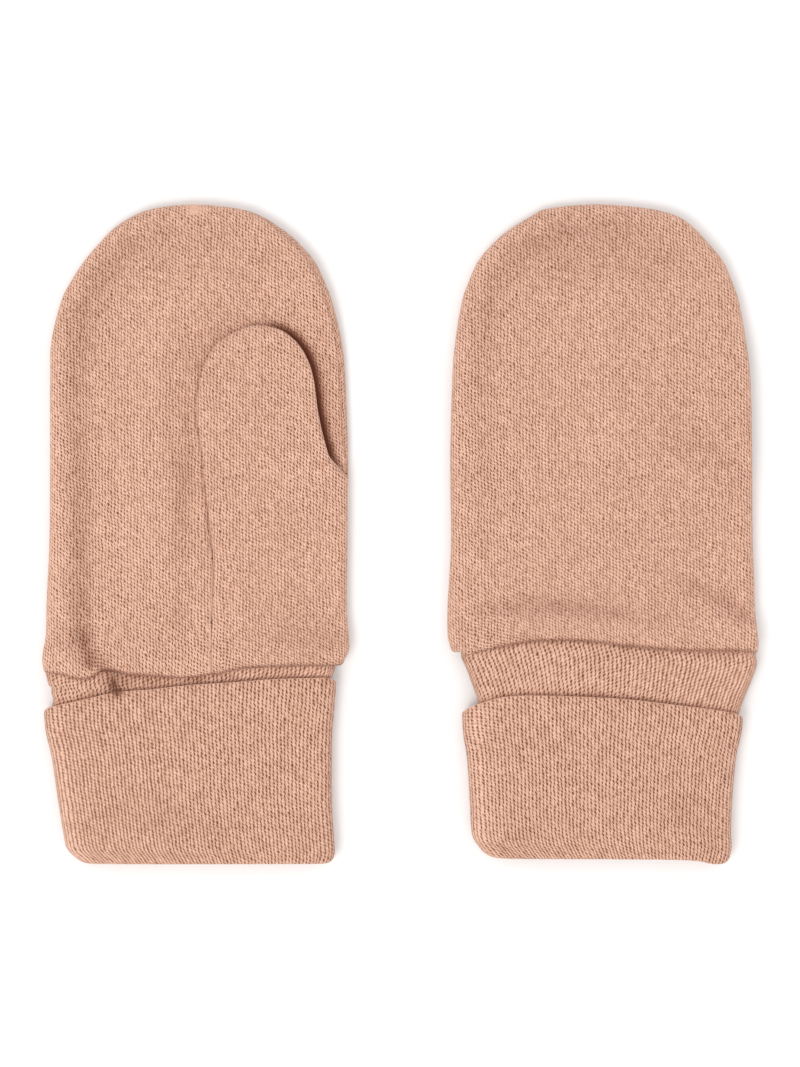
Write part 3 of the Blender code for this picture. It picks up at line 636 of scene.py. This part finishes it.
def hand_grid(mitten, upper, face, other):
    """A whole hand panel, from the rim of its lower edge to the tip."""
    up = 1 if upper else -1
    edge = mitten.edge[upper]
    count = int(HAND_SPAN / STEP)

    def row(level, down, inset, tip=False):
        wave = wave_at(mitten, edge, level)
        corner = corner_inset(mitten, level)
        halves = []
        for side, on_right in ((mitten.left_side, False), (mitten.right_side, True)):
            spot, inward = tip_at(mitten.tip) if tip else side_at(side, level)
            shift = wave(spot[0])
            spot = spot + inward * inset + [-corner if on_right else corner, 0]
            radius = SIDE_RADIUS - inset
            place = spot + inward * radius
            level_face = face(place[0], place[1] + shift) - up * inset
            level_other = other(place[0], place[1] + shift) + up * inset
            seam = up * math.radians(mitten.seams[2 if on_right else 1](level))
            section = side_section(spot, inward, radius, side_level(mitten, level, on_right),
                                   level_face, level_other, seam)
            halves.append((section, shift))
        return joined_row(*halves, wave, lambda x, y: face(x, y) - up * inset, down, count)

    rows = [row(mitten.base, down, inset) for down, inset in lip_rows()]
    rows += [row(level, 0.0, 0.0)
             for level in levels_along(mitten.left_side, mitten.base, mitten.tip[1], STEP)
             if level < mitten.tip[1] - TIP_ROOM]
    return stacked(rows + [row(mitten.tip[1], 0.0, 0.0, tip=True)])


def thumb_lines(mitten):
    """The thumb's left and right sides, up to its tip."""
    seam_side = [(SEAM_X, mitten.base)] + [(row[1], row[0]) for row in THUMB_ROWS]
    free_side = [(row[2], row[0]) for row in THUMB_ROWS if row[2]]
    hand = mitten.right_side[0]
    crotch = side_at(mitten.right_side, CROTCH_Y[0])[0]
    free = spline([tuple(crotch)] + free_side + [THUMB_TIP], seam_side[-1])
    line = np.vstack([hand[hand[:, 1] < CROTCH_Y[0] - 0.1], free])
    left = spline(seam_side + [THUMB_TIP], free_side[-1])
    return with_inward(left, 1), with_inward(line, -1)


def thumb_grid(mitten):
    """The lower corner of the palm and the thumb's outer side, in one panel."""
    left, right = thumb_lines(mitten)
    out = 1 if mitten.palm_up else -1
    edge = mitten.edge[mitten.palm_up]
    count = int(THUMB_SPAN / STEP)

    def face(x, y):
        return thumb_height(mitten, x, y)

    def row(level, down, inset, tip=False):
        wave = wave_at(mitten, edge, level)
        spot, inward = tip_at(THUMB_TIP) if tip else side_at(left, level)
        turn = lerp(SEAM_ANGLE, math.pi / 2, float(eased(level, SEAM_TOP)))
        seam_shift = wave(spot[0])
        place = spot + inward * THUMB_RADIUS
        height = face(place[0], place[1] + seam_shift) - out * inset
        seam = rolled_section(spot, inward, turn, height, out)

        spot, inward = tip_at(THUMB_TIP) if tip else side_at(right, level)
        if not tip:
            inward = lerp(np.array([-1.0, 0.0]), inward, smooth((level - CROTCH_Y[0]) / CROTCH_TURN))
            inward /= np.linalg.norm(inward)
        free = float(eased(level, CROTCH_Y))
        side_shift = wave(spot[0])
        radius = lerp(SIDE_RADIUS - inset, THUMB_RADIUS, free)
        spot = spot + inward * inset - [corner_inset(mitten, level), 0]
        place = spot + inward * radius
        height = face(place[0], place[1] + side_shift) - out * inset
        centre = lerp(side_level(mitten, level, True), height - out * THUMB_RADIUS, free)
        side = side_section(spot, inward, radius, centre, height, centre, 0.0)
        return joined_row((seam, seam_shift), (side, side_shift), wave,
                          lambda x, y: face(x, y) - out * inset, down, count)

    rows = [row(mitten.base, down, inset) for down, inset in lip_rows()]
    rows += [row(level, 0.0, 0.0)
             for level in levels_along(left, mitten.base, THUMB_TIP[1], STEP)[:-1]]
    return stacked(rows + [row(THUMB_TIP[1], 0.0, 0.0, tip=True)])


def thumb_back_grid(mitten):
    """The thumb's inner side, made from the palm's outside and moved out."""
    left, right = thumb_lines(mitten)
    out = 1 if mitten.palm_up else -1
    count = int(THUMB_SPAN / STEP)
    places = np.linspace(0, 1, THUMB_BACK_STEPS)
    marks = np.linspace(0, 1, len(THUMB_BACK_ROWS))
    levels = [np.interp(places, marks, column) for column in zip(*THUMB_BACK_ROWS)]
    across = np.linspace(0, 1, count + 1)[:, None]
    rows = []
    for left_level, right_level in zip(*levels):
        start, into_left = side_at(left, left_level)
        end, into_right = side_at(right, right_level)
        start, end = start + into_left * THUMB_GAP, end + into_right * THUMB_GAP
        spots = start * (1 - across) + end * across
        height = palm_height(mitten, spots[:, 0], spots[:, 1]) + out * LAP_GAP
        rows.append((np.column_stack([spots, height]), spots, np.full(count + 1, NO_SEAM)))
    return stacked(rows)


def between_layers(pair, x, upper):
    """A line's level at a place, from the hidden layer's (0) to the shown one's (1)."""
    return lerp(pair[False](x), pair[True](x), upper)


def cuff_rings(mitten):
    """The ribbed cuff's middle surface as rings: down inside the wrist, round the bottom
    fold and back up outside to its free edge."""
    middle_z = WRIST_DEPTH / 2
    half = CUFF_WALL / 2
    tube, outside = TUBE_INSET + half, half
    hem_low = max(mitten.hem[0][1], mitten.hem[-1][1])
    turns = np.radians(np.linspace(-90, 90, CUFF_SIDE_STEPS))
    spread = np.linspace(0, 1, int(CUFF_SPAN / STEP))[1:-1]

    def top_level(x, upper):
        return between_layers(mitten.edge, x, upper) + TUBE_REACH

    def fold_level(x, upper):
        return mitten.fold_line(x) + FOLD_RADIUS + half

    def hem_level(x, upper):
        return between_layers(mitten.hem_line, x, upper) - HEM_ROLL

    def between(first, last, t):
        return lambda x, upper: lerp(first(x, upper), last(x, upper), t)

    def folded(turn):
        return lambda x, upper: fold_level(x, upper) - FOLD_RADIUS * math.sin(turn)

    def raised(rise):
        return lambda x, upper: hem_level(x, upper) + rise

    def envelope(y, column, inside):
        if not inside:
            return mitten.cuff_side[column](y)
        sign = -1 if column == 1 else 1
        cuff = mitten.cuff_side[column](y - CORNER_EASE)
        wrist = mitten.wrist_side[column](y) + sign * TUBE_INSET
        blend = lerp(wrist, cuff, smooth((hem_low - HEM_EASE - y) / HEM_EASE))
        held = np.maximum(blend, cuff) if column == 1 else np.minimum(blend, cuff)
        return np.where(y > hem_low, blend, held)

    def ring(level, inset, inside, crown):
        radius = middle_z - inset
        left = envelope(level(-FAR, 0.5), 1, inside) + inset
        right = envelope(level(FAR, 0.5), 2, inside) - inset
        upper = (1 + np.sin(turns)) / 2
        side_z = middle_z + radius * np.sin(turns)
        flat_x = lerp(left + radius, right - radius, spread)
        dome = crown * np.sin(math.pi * spread) ** 0.5

        def part(x, layer, z):
            return np.column_stack([x, level(x, layer), z])

        return np.vstack([
            part(left + radius * (1 - np.cos(turns)), upper, side_z),
            part(flat_x, 1.0, middle_z + radius + dome),
            part(right - radius * (1 - np.cos(turns)), upper, side_z)[::-1],
            part(flat_x[::-1], 0.0, np.full(len(flat_x), middle_z - radius)),
        ])

    rings = [ring(between(top_level, fold_level, t), tube, True, 0.0)
             for t in np.linspace(0, 1, TUBE_ROWS)]
    for turn in np.radians(np.linspace(*FOLD_TURNS, FOLD_ROWS)):
        inset = lerp(tube, outside, (1 - math.cos(turn)) / 2)
        rings.append(ring(folded(turn), inset, turn < math.pi / 2, CUFF_CROWN * FOLD_CROWN))
    for t in np.linspace(0, 1, TURNED_ROWS):
        crown = CUFF_CROWN * min(1, FOLD_CROWN + CROWN_GAIN * t)
        rings.append(ring(between(fold_level, hem_level, t), outside, False, crown))
    rings += [ring(raised(rise), outside + inset, False, CUFF_CROWN) for rise, inset in HEM_ROWS]
    return np.array(rings)


def cuff_grid(mitten):
    """The cuff's rings, with the wrist band puffed out and the free edge sunk towards it."""
    points = cuff_rings(mitten)
    middle_z = WRIST_DEPTH / 2
    for part, inside in ((points[:TUBE_ROWS], True), (points[TUBE_ROWS:], False)):
        x, y, z = part[..., 0], part[..., 1], part[..., 2]
        above = np.sign(z - middle_z) * smooth(np.abs(z - middle_z) / BAND_SIDE)
        upper = (1 + above) / 2
        from_hem = y - between_layers(mitten.hem_line, x, upper)
        from_edge = between_layers(mitten.edge, x, upper) - y
        if inside:
            shown = smooth(from_hem / BAND_EASE) * smooth((from_edge + BAND_EASE) / BAND_EASE)
            relief = sum_lines(mitten.band, x, y)
            part[..., 2] += above * shown * (BAND_RISE + np.maximum(above, 0) * relief)
        else:
            part[..., 2] -= np.maximum(above, 0) * HEM_DIP * smooth(1 + from_hem / HEM_DIP_REACH)
    around = np.linalg.norm(np.diff(points, axis=1, append=points[:, :1]), axis=2)
    along = np.linalg.norm(np.diff(points, axis=0), axis=2).mean(axis=1)
    u = np.cumsum(around[RIB_ROW], axis=0)
    v = np.concatenate([[0], np.cumsum(along)])
    return points, np.stack(np.meshgrid(u, v), axis=2), np.full(points.shape[:2], NO_SEAM)


def inside_polygon(x, y, corners):
    """Whether points lie within a polygon given as (level, across) corners."""
    inside = np.zeros(x.shape, bool)
    spots = [(across, level) for level, across in corners]
    for (x0, y0), (x1, y1) in zip(spots, spots[1:] + spots[:1]):
        if y0 == y1:
            continue
        crosses = (y0 > y) != (y1 > y)
        inside ^= crosses & (x < (x1 - x0) * (y - y0) / (y1 - y0) + x0)
    return inside


def snapped(mitten, points):
    """The palm's grid with one column laid along the upright seam, sunk into it."""
    line = thumb_lines(mitten)[0][0]
    out = 1 if mitten.palm_up else -1
    for row in points:
        cut = np.interp(row[:, 1], line[:, 1], line[:, 0]) - SEAM_GAP
        column = int(np.argmin(np.abs(row[:, 0] - cut)))
        if row[column, 1] < SEAM_SNAP_TOP:
            row[column, 0] = cut[column]
            row[:, 2] -= out * groove(np.abs(row[:, 0] - cut)) * (np.arange(len(row)) <= column)
    return points


def mend(data):
    """Join a mesh's coinciding points, drop its loose ones and mark those on its rims."""
    mesh = bmesh.new()
    mesh.from_mesh(data)
    loose = [vert for vert in mesh.verts if not vert.link_faces]
    bmesh.ops.delete(mesh, geom=loose, context="VERTS")
    bmesh.ops.remove_doubles(mesh, verts=mesh.verts, dist=WELD * MM)
    bmesh.ops.dissolve_degenerate(mesh, edges=mesh.edges, dist=WELD * MM)
    at_rim = mesh.verts.layers.float["rim"]
    for vert in mesh.verts:
        vert[at_rim] = float(vert.is_boundary)
    mesh.to_mesh(data)
    mesh.free()


def placed(name, data):
    """A new object in the scene."""
    thing = bpy.data.objects.new(name, data)
    bpy.context.scene.collection.objects.link(thing)
    return thing


def make_piece(mitten, piece, grid, wall, offset, facing, ring=False, hole=None, shade=None):
    """A cloth panel from a grid of points, with its knit laid out as UVs in millimetres."""
    points, knit, _ = grid
    rows, columns = points.shape[:2]
    index = np.arange(rows * columns).reshape(rows, columns)
    if ring:
        index = np.column_stack([index, index[:, :1]])
        wrap = knit[:, :1].copy()
        wrap[:, :, 0] = knit[0, -1, 0] + STEP
        knit = np.concatenate([knit, wrap], axis=1)
    quads, corners = (np.stack([at[:-1, :-1], at[:-1, 1:], at[1:, 1:], at[1:, :-1]], axis=2)
                      for at in (index, knit))
    quads = quads.reshape(-1, 4)
    corners = corners.reshape(-1, 4, 2)
    flat = points.reshape(-1, 3)
    if hole is not None:
        middle = flat[quads].mean(axis=1)
        keep = ~inside_polygon(middle[:, 0], middle[:, 1], hole)
        quads, corners = quads[keep], corners[keep]
    if not facing:
        quads, corners = quads[:, ::-1], corners[:, ::-1]
    name = f"{mitten.name}_{piece}_knit"
    data = bpy.data.meshes.new(name)
    data.from_pydata(((flat + [mitten.middle, 0, 0]) * MM).tolist(), [], quads.tolist())
    layer = data.uv_layers.new(name="knit")
    layer.data.foreach_set("uv", corners.reshape(-1).astype(np.float32))
    values = np.zeros(len(flat)) if shade is None else shade.reshape(-1)
    data.attributes.new("shade", "FLOAT", "POINT").data.foreach_set("value", values.astype(np.float32))
    data.attributes.new("rim", "FLOAT", "POINT")
    mend(data)
    data.shade_smooth()
    thing = placed(name, data)
    thicken = thing.modifiers.new("cloth", "SOLIDIFY")
    thicken.thickness = wall * MM
    thicken.offset = offset
    rounded = thing.modifiers.new("rim", "BEVEL")
    rounded.width = RIM_RADIUS * MM
    rounded.segments = 2
    rounded.limit_method = "ANGLE"
    rounded.angle_limit = RIM_ANGLE
    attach(thing, "root")
    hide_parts(f"{mitten.name}_{piece}")
    return thing


def panel_shade(mitten, grid, upper):
    """A hand panel's painted shade at its seams, in its creases and along its lower edge, and painted light
    on its ridges and round its rim.
    """
    points, _, arc = grid
    shade = fade(arc, *SEAM_SHADE)
    if upper:
        x, y = points[..., 0], points[..., 1]
        strength, reach = RIM_LIGHT
        shade = shade - strength * np.exp(-from_rim(mitten, x, y) / reach)
        shade += CREASE_SHADE * (near_lines(mitten.troughs, x, y) - near_lines(mitten.ridges, x, y))
        # painted shade and painted light along the mitten's listed lines
        shade += sum_lines(mitten.tones, x, y)
        shade += fade(y - mitten.edge[True](x) - HAND_EDGE_RISE, *HAND_EDGE_SHADE)
    return shade


def rolled_light(grid):
    """Painted light on the thumb's rolled left edge and on its free edge, where they catch the light."""
    points, _, arc = grid
    x, y = points[..., 0], points[..., 1]
    left = np.arange(points.shape[1]) < SIDE_STEPS + 2
    beyond = eased(x, TIP_SPAN)
    free = ~left * smooth((y - CROTCH_Y[0]) / TIP_EASE) * beyond
    return fade(arc, *ROLL_LIGHT) * left * (1 - beyond) + fade(arc, *TIP_LIGHT) * free


def under_thumb_shade(mitten, points):
    """Painted shadow on the palm right beside the thumb."""
    if not mitten.palm_up:
        return 0.0
    x, y = points[..., 0], points[..., 1]
    away = np.maximum(thumb_away(x, y), 0)
    free = eased(x, FREE_ACROSS) * eased(y, FREE_ALONG)
    left = eased(y, THUMB_LEFT_SPAN) * (1 - free)
    return free * sum(fade(away, *shade) for shade in THUMB_SHADES) + left * fade(away, *THUMB_LEFT_SHADE)


def cuff_shade(mitten, points):
    """Painted shade on the wrist right under the hand's edge and at the cuff's free edge, and painted light
    on the wrist and towards the hem's left end.
    """
    x, y = points[..., 0], points[..., 1]
    upper = points[..., 2] > WRIST_DEPTH / 2
    edge, hem = (np.where(upper, pair[True](x), pair[False](x)) for pair in (mitten.edge, mitten.hem_line))
    middle = 1 - HEM_LIGHT * eased(-x, HEM_LIGHT_SPAN)
    shade = middle * fade(y - hem, *HEM_LIP_SHADE)
    band = fade(y - edge, *BAND_SHADE) + middle * fade(y - hem, *HEM_SHADE) - BAND_LIGHT
    shade[:TUBE_ROWS] = band[:TUBE_ROWS]
    # painted shade and painted light on the cuff's upper side
    return shade + sum_lines(mitten.cuff_tones, x, y) * upper


def node(tree, kind, **values):
    made = tree.nodes.new(kind)
    for name, value in values.items():
        setattr(made, name, value)
    return made


def feed(tree, socket, value):
    """Give a socket a fixed value, or another node's output."""
    if isinstance(value, bpy.types.NodeSocket):
        tree.links.new(value, socket)
    else:
        socket.default_value = value


def vectors(tree, operation, *values):
    """Shader arithmetic on vectors."""
    made = node(tree, "ShaderNodeVectorMath", operation=operation)
    for socket, value in zip(made.inputs, values):
        feed(tree, socket, value)
    return made.outputs[0]


def noise(tree, places, scale, detail, roughness):
    made = node(tree, "ShaderNodeTexNoise", noise_dimensions="2D")
    for name, value in (("Vector", places), ("Scale", scale), ("Detail", detail), ("Roughness", roughness)):
        feed(tree, made.inputs[name], value)
    return made


def linear(red, green, blue):
    """A colour given as 0 to 255 screen values."""
    def channel(value):
        value /= 255
        return value / 12.92 if value <= 0.04045 else ((value + 0.055) / 1.055) ** 2.4
    return (channel(red), channel(green), channel(blue), 1.0)


def new_material(name, finish):
    """A material and its shader, with the shader's fixed values set."""
    material = bpy.data.materials.new(name)
    material.use_nodes = True
    shader = material.node_tree.nodes["Principled BSDF"]
    for socket, value in finish.items():
        shader.inputs[socket].default_value = value
    return material, shader


def yarn_colour(tree, level, shade, tone):
    """The yarn's colour, from dark to light, turned darker and redder where shadow is painted."""
    ramp = node(tree, "ShaderNodeValToRGB")
    ramp.color_ramp.interpolation = "LINEAR"
    while len(ramp.color_ramp.elements) < len(YARN):
        ramp.color_ramp.elements.new(0.5)
    for element, (place, colour) in zip(ramp.color_ramp.elements, YARN):
        element.position = place
        element.color = linear(*[channel * tone for channel in colour])
    feed(tree, ramp.inputs["Fac"], level)
    mix = node(tree, "ShaderNodeMix", data_type="RGBA")
    feed(tree, mix.inputs["Factor"], shade)
    feed(tree, mix.inputs["A"], ramp.outputs["Color"])
    feed(tree, mix.inputs["B"], linear(*PAINTED_SHADOW_YARN))
    return mix.outputs["Result"]


def knit_material(name, tone, look):
    """Fine ribbed wool: columns of slanted stitches with dark gaps, on the knit's own places."""
    material, shader = new_material(name, KNIT_FINISH)
    tree = material.node_tree
    uv = node(tree, "ShaderNodeUVMap", uv_map="knit").outputs[0]
    shade, rim = (node(tree, "ShaderNodeAttribute", attribute_name=kind).outputs["Fac"]
                  for kind in ("shade", "rim"))

    def sums(operation, *values, clamp=False):
        made = node(tree, "ShaderNodeMath", operation=operation, use_clamp=clamp)
        for socket, value in zip(made.inputs, values):
            feed(tree, socket, value)
        return made.outputs[0]

    def times(first, second):
        return sums("MULTIPLY", first, second)

    # where on the knit a place is: columns wander a little, and single stitches stray
    drift = vectors(tree, "SUBTRACT", noise(tree, uv, *DRIFT_NOISE).outputs["Color"], (0.5, 0.5, 0.5))
    moved = vectors(tree, "ADD", uv, vectors(tree, "MULTIPLY", drift, (look["drift"],) * 3))
    strayed = vectors(tree, "MULTIPLY_ADD", noise(tree, uv, *JITTER_NOISE).outputs["Color"], JITTER, moved)
    split = node(tree, "ShaderNodeSeparateXYZ")
    feed(tree, split.inputs[0], strayed)
    across = sums("DIVIDE", split.outputs[0], look["wale"])
    courses = sums("DIVIDE", split.outputs[1], COURSE)
    column = sums("FLOOR", across)
    along = sums("ADD", courses, times(column, 0.5))
    u, v = (sums("SUBTRACT", sums("FRACT", place), 0.5) for place in (across, along))

    # the slit beside each stitch, the furrow between columns and the slanted stitches
    width, length = look["slit"]
    thin = sums("DIVIDE", sums("ADD", u, times(v, look["slant"])), width)
    long = sums("DIVIDE", sums("SUBTRACT", v, times(u, look["slant"])), length)
    far = sums("ADD", times(thin, thin), times(long, long))
    slit = sums("EXPONENT", times(far, -1.0))
    furrow = sums("ADD", times(sums("COSINE", times(u, 2 * math.pi)), 0.5), 0.5)
    half = sums("SUBTRACT", across, 0.5)
    lean = sums("COSINE", times(sums("ADD", half, courses), 2 * math.pi))
    stitch = times(times(lean, sums("COSINE", times(half, math.pi))), 0.5)
    inner = sums("SUBTRACT", 1.0, rim, clamp=True)
    slit, furrow, stitch = (times(part, inner) for part in (slit, furrow, stitch))

    # chance: one value for each stitch, and the wool's own fibres and patches
    pair = node(tree, "ShaderNodeCombineXYZ")
    feed(tree, pair.inputs[0], column)
    feed(tree, pair.inputs[1], sums("FLOOR", along))
    chance = node(tree, "ShaderNodeTexWhiteNoise", noise_dimensions="2D")
    feed(tree, chance.inputs["Vector"], pair.outputs[0])
    fibre = noise(tree, vectors(tree, "MULTIPLY", uv, FIBRE_STRETCH), *FIBRE_NOISE).outputs["Fac"]
    patch = noise(tree, uv, *PATCH_NOISE).outputs["Fac"]
    least, more = SLIT_DEPTH
    slit = times(slit, sums("ADD", least, times(chance.outputs["Value"], more)))
    single = sums("ADD", 0.5, times(inner, sums("SUBTRACT", chance.outputs["Color"], 0.5)))

    level = sums("SUBTRACT", look["light"], times(slit, look["dark"]))
    level = sums("ADD", level, times(stitch, look["stitch"]))
    level = sums("SUBTRACT", level, times(furrow, look["furrow"]))
    for source, share in zip((single, fibre, patch), NOISE_SHARES):
        level = sums("ADD", level, times(sums("SUBTRACT", source, 0.5), share))
    # painted shade from the 'shade' attribute darkens the tone (below 0: painted light), and deep painted
    # shade turns it to the shadow colour
    level = sums("SUBTRACT", level, times(shade, SHADE_DARKENS))
    deep = sums("MULTIPLY", shade, SHADE_COLOURS, clamp=True)
    feed(tree, shader.inputs["Base Color"], yarn_colour(tree, level, deep, tone))

    height = sums("SUBTRACT", times(fibre, FIBRE_HEIGHT), slit)
    bump = node(tree, "ShaderNodeBump")
    feed(tree, bump.inputs["Strength"], BUMP_STRENGTH)
    feed(tree, bump.inputs["Distance"], BUMP_DEPTH * MM)
    feed(tree, bump.inputs["Height"], sums("SUBTRACT", height, times(furrow, look["furrow"])))
    feed(tree, shader.inputs["Normal"], bump.outputs[0])
    return material


def build_mitten(mitten, materials):
    """The five pieces of one mitten."""
    prepare(mitten)
    up = mitten.palm_up

    def palm(x, y):
        return palm_height(mitten, x, y)

    def back(x, y):
        return back_height(mitten, x, y)

    pieces = {}
    grid = hand_grid(mitten, up, palm, back)
    grid[0] = snapped(mitten, grid[0])
    shade = panel_shade(mitten, grid, up) + under_thumb_shade(mitten, grid[0])
    pieces["palm"] = make_piece(mitten, "palm", grid, HAND_WALL, -1, up, hole=OPENING, shade=shade)
    grid = hand_grid(mitten, not up, back, palm)
    shade = panel_shade(mitten, grid, not up)
    pieces["back"] = make_piece(mitten, "back", grid, HAND_WALL, -1, not up, shade=shade)
    grid = thumb_grid(mitten)
    shade = panel_shade(mitten, grid, up) - rolled_light(grid)
    pieces["thumb_front"] = make_piece(mitten, "thumb_front", grid, HAND_WALL, -1, up, shade=shade)
    pieces["thumb_back"] = make_piece(mitten, "thumb_back", thumb_back_grid(mitten), THUMB_BACK_WALL, 1, up)
    grid = cuff_grid(mitten)
    shade = cuff_shade(mitten, grid[0])
    pieces["cuff"] = make_piece(mitten, "cuff", grid, CUFF_WALL, 0, False, ring=True, shade=shade)

    for piece, thing in pieces.items():
        thing.data.materials.append(materials[piece])


def add_key_light():
    """One large soft light, from the lower left."""
    data = bpy.data.lights.new("key", "AREA")
    data.energy = 9.0
    data.shape = "DISK"
    data.size = 0.8
    thing = placed("key", data)
    thing.location = (-0.55, -0.65, 1.5)
    thing.rotation_mode = "QUATERNION"
    thing.rotation_quaternion = (-thing.location).to_track_quat("-Z", "Y")


def add_camera():
    """Straight down on the pair, framed 208 mm wide at the sides' height."""
    lens, sensor = 120.0, 36.0
    frame_height = 208.0 * 1067 / 800
    side_height = 3.0
    data = bpy.data.cameras.new("camera")
    data.lens = lens
    data.sensor_width = sensor
    thing = placed("camera", data)
    thing.location = (0, 0, (frame_height * lens / sensor + side_height) * MM)
    bpy.context.scene.camera = thing


def add_stage():
    """A plain pale floor in an even white studio."""
    mesh = bmesh.new()
    bmesh.ops.create_grid(mesh, x_segments=1, y_segments=1, size=2.0)
    data = bpy.data.meshes.new("floor")
    mesh.to_mesh(data)
    mesh.free()
    white, _ = new_material("floor_white", {"Base Color": (0.93, 0.93, 0.93, 1.0), "Roughness": 1.0})
    data.materials.append(white)
    floor = placed("floor", data)
    floor.location.z = -0.1 * MM
    world = bpy.data.worlds.new("studio")
    world.use_nodes = True
    background = world.node_tree.nodes["Background"]
    background.inputs["Color"].default_value = (1, 1, 1, 1)
    background.inputs["Strength"].default_value = 1.0
    bpy.context.scene.world = world
    bpy.context.scene.view_settings.view_transform = "Standard"


add_camera()
add_stage()
add_key_light()
knits = {piece: knit_material(f"{piece}_knit", tone, CUFF_KNIT if piece == "cuff" else HAND_KNIT)
         for piece, tone in PIECE_TONES.items()}
for mitten in (RIGHT, LEFT):
    build_mitten(mitten, knits)
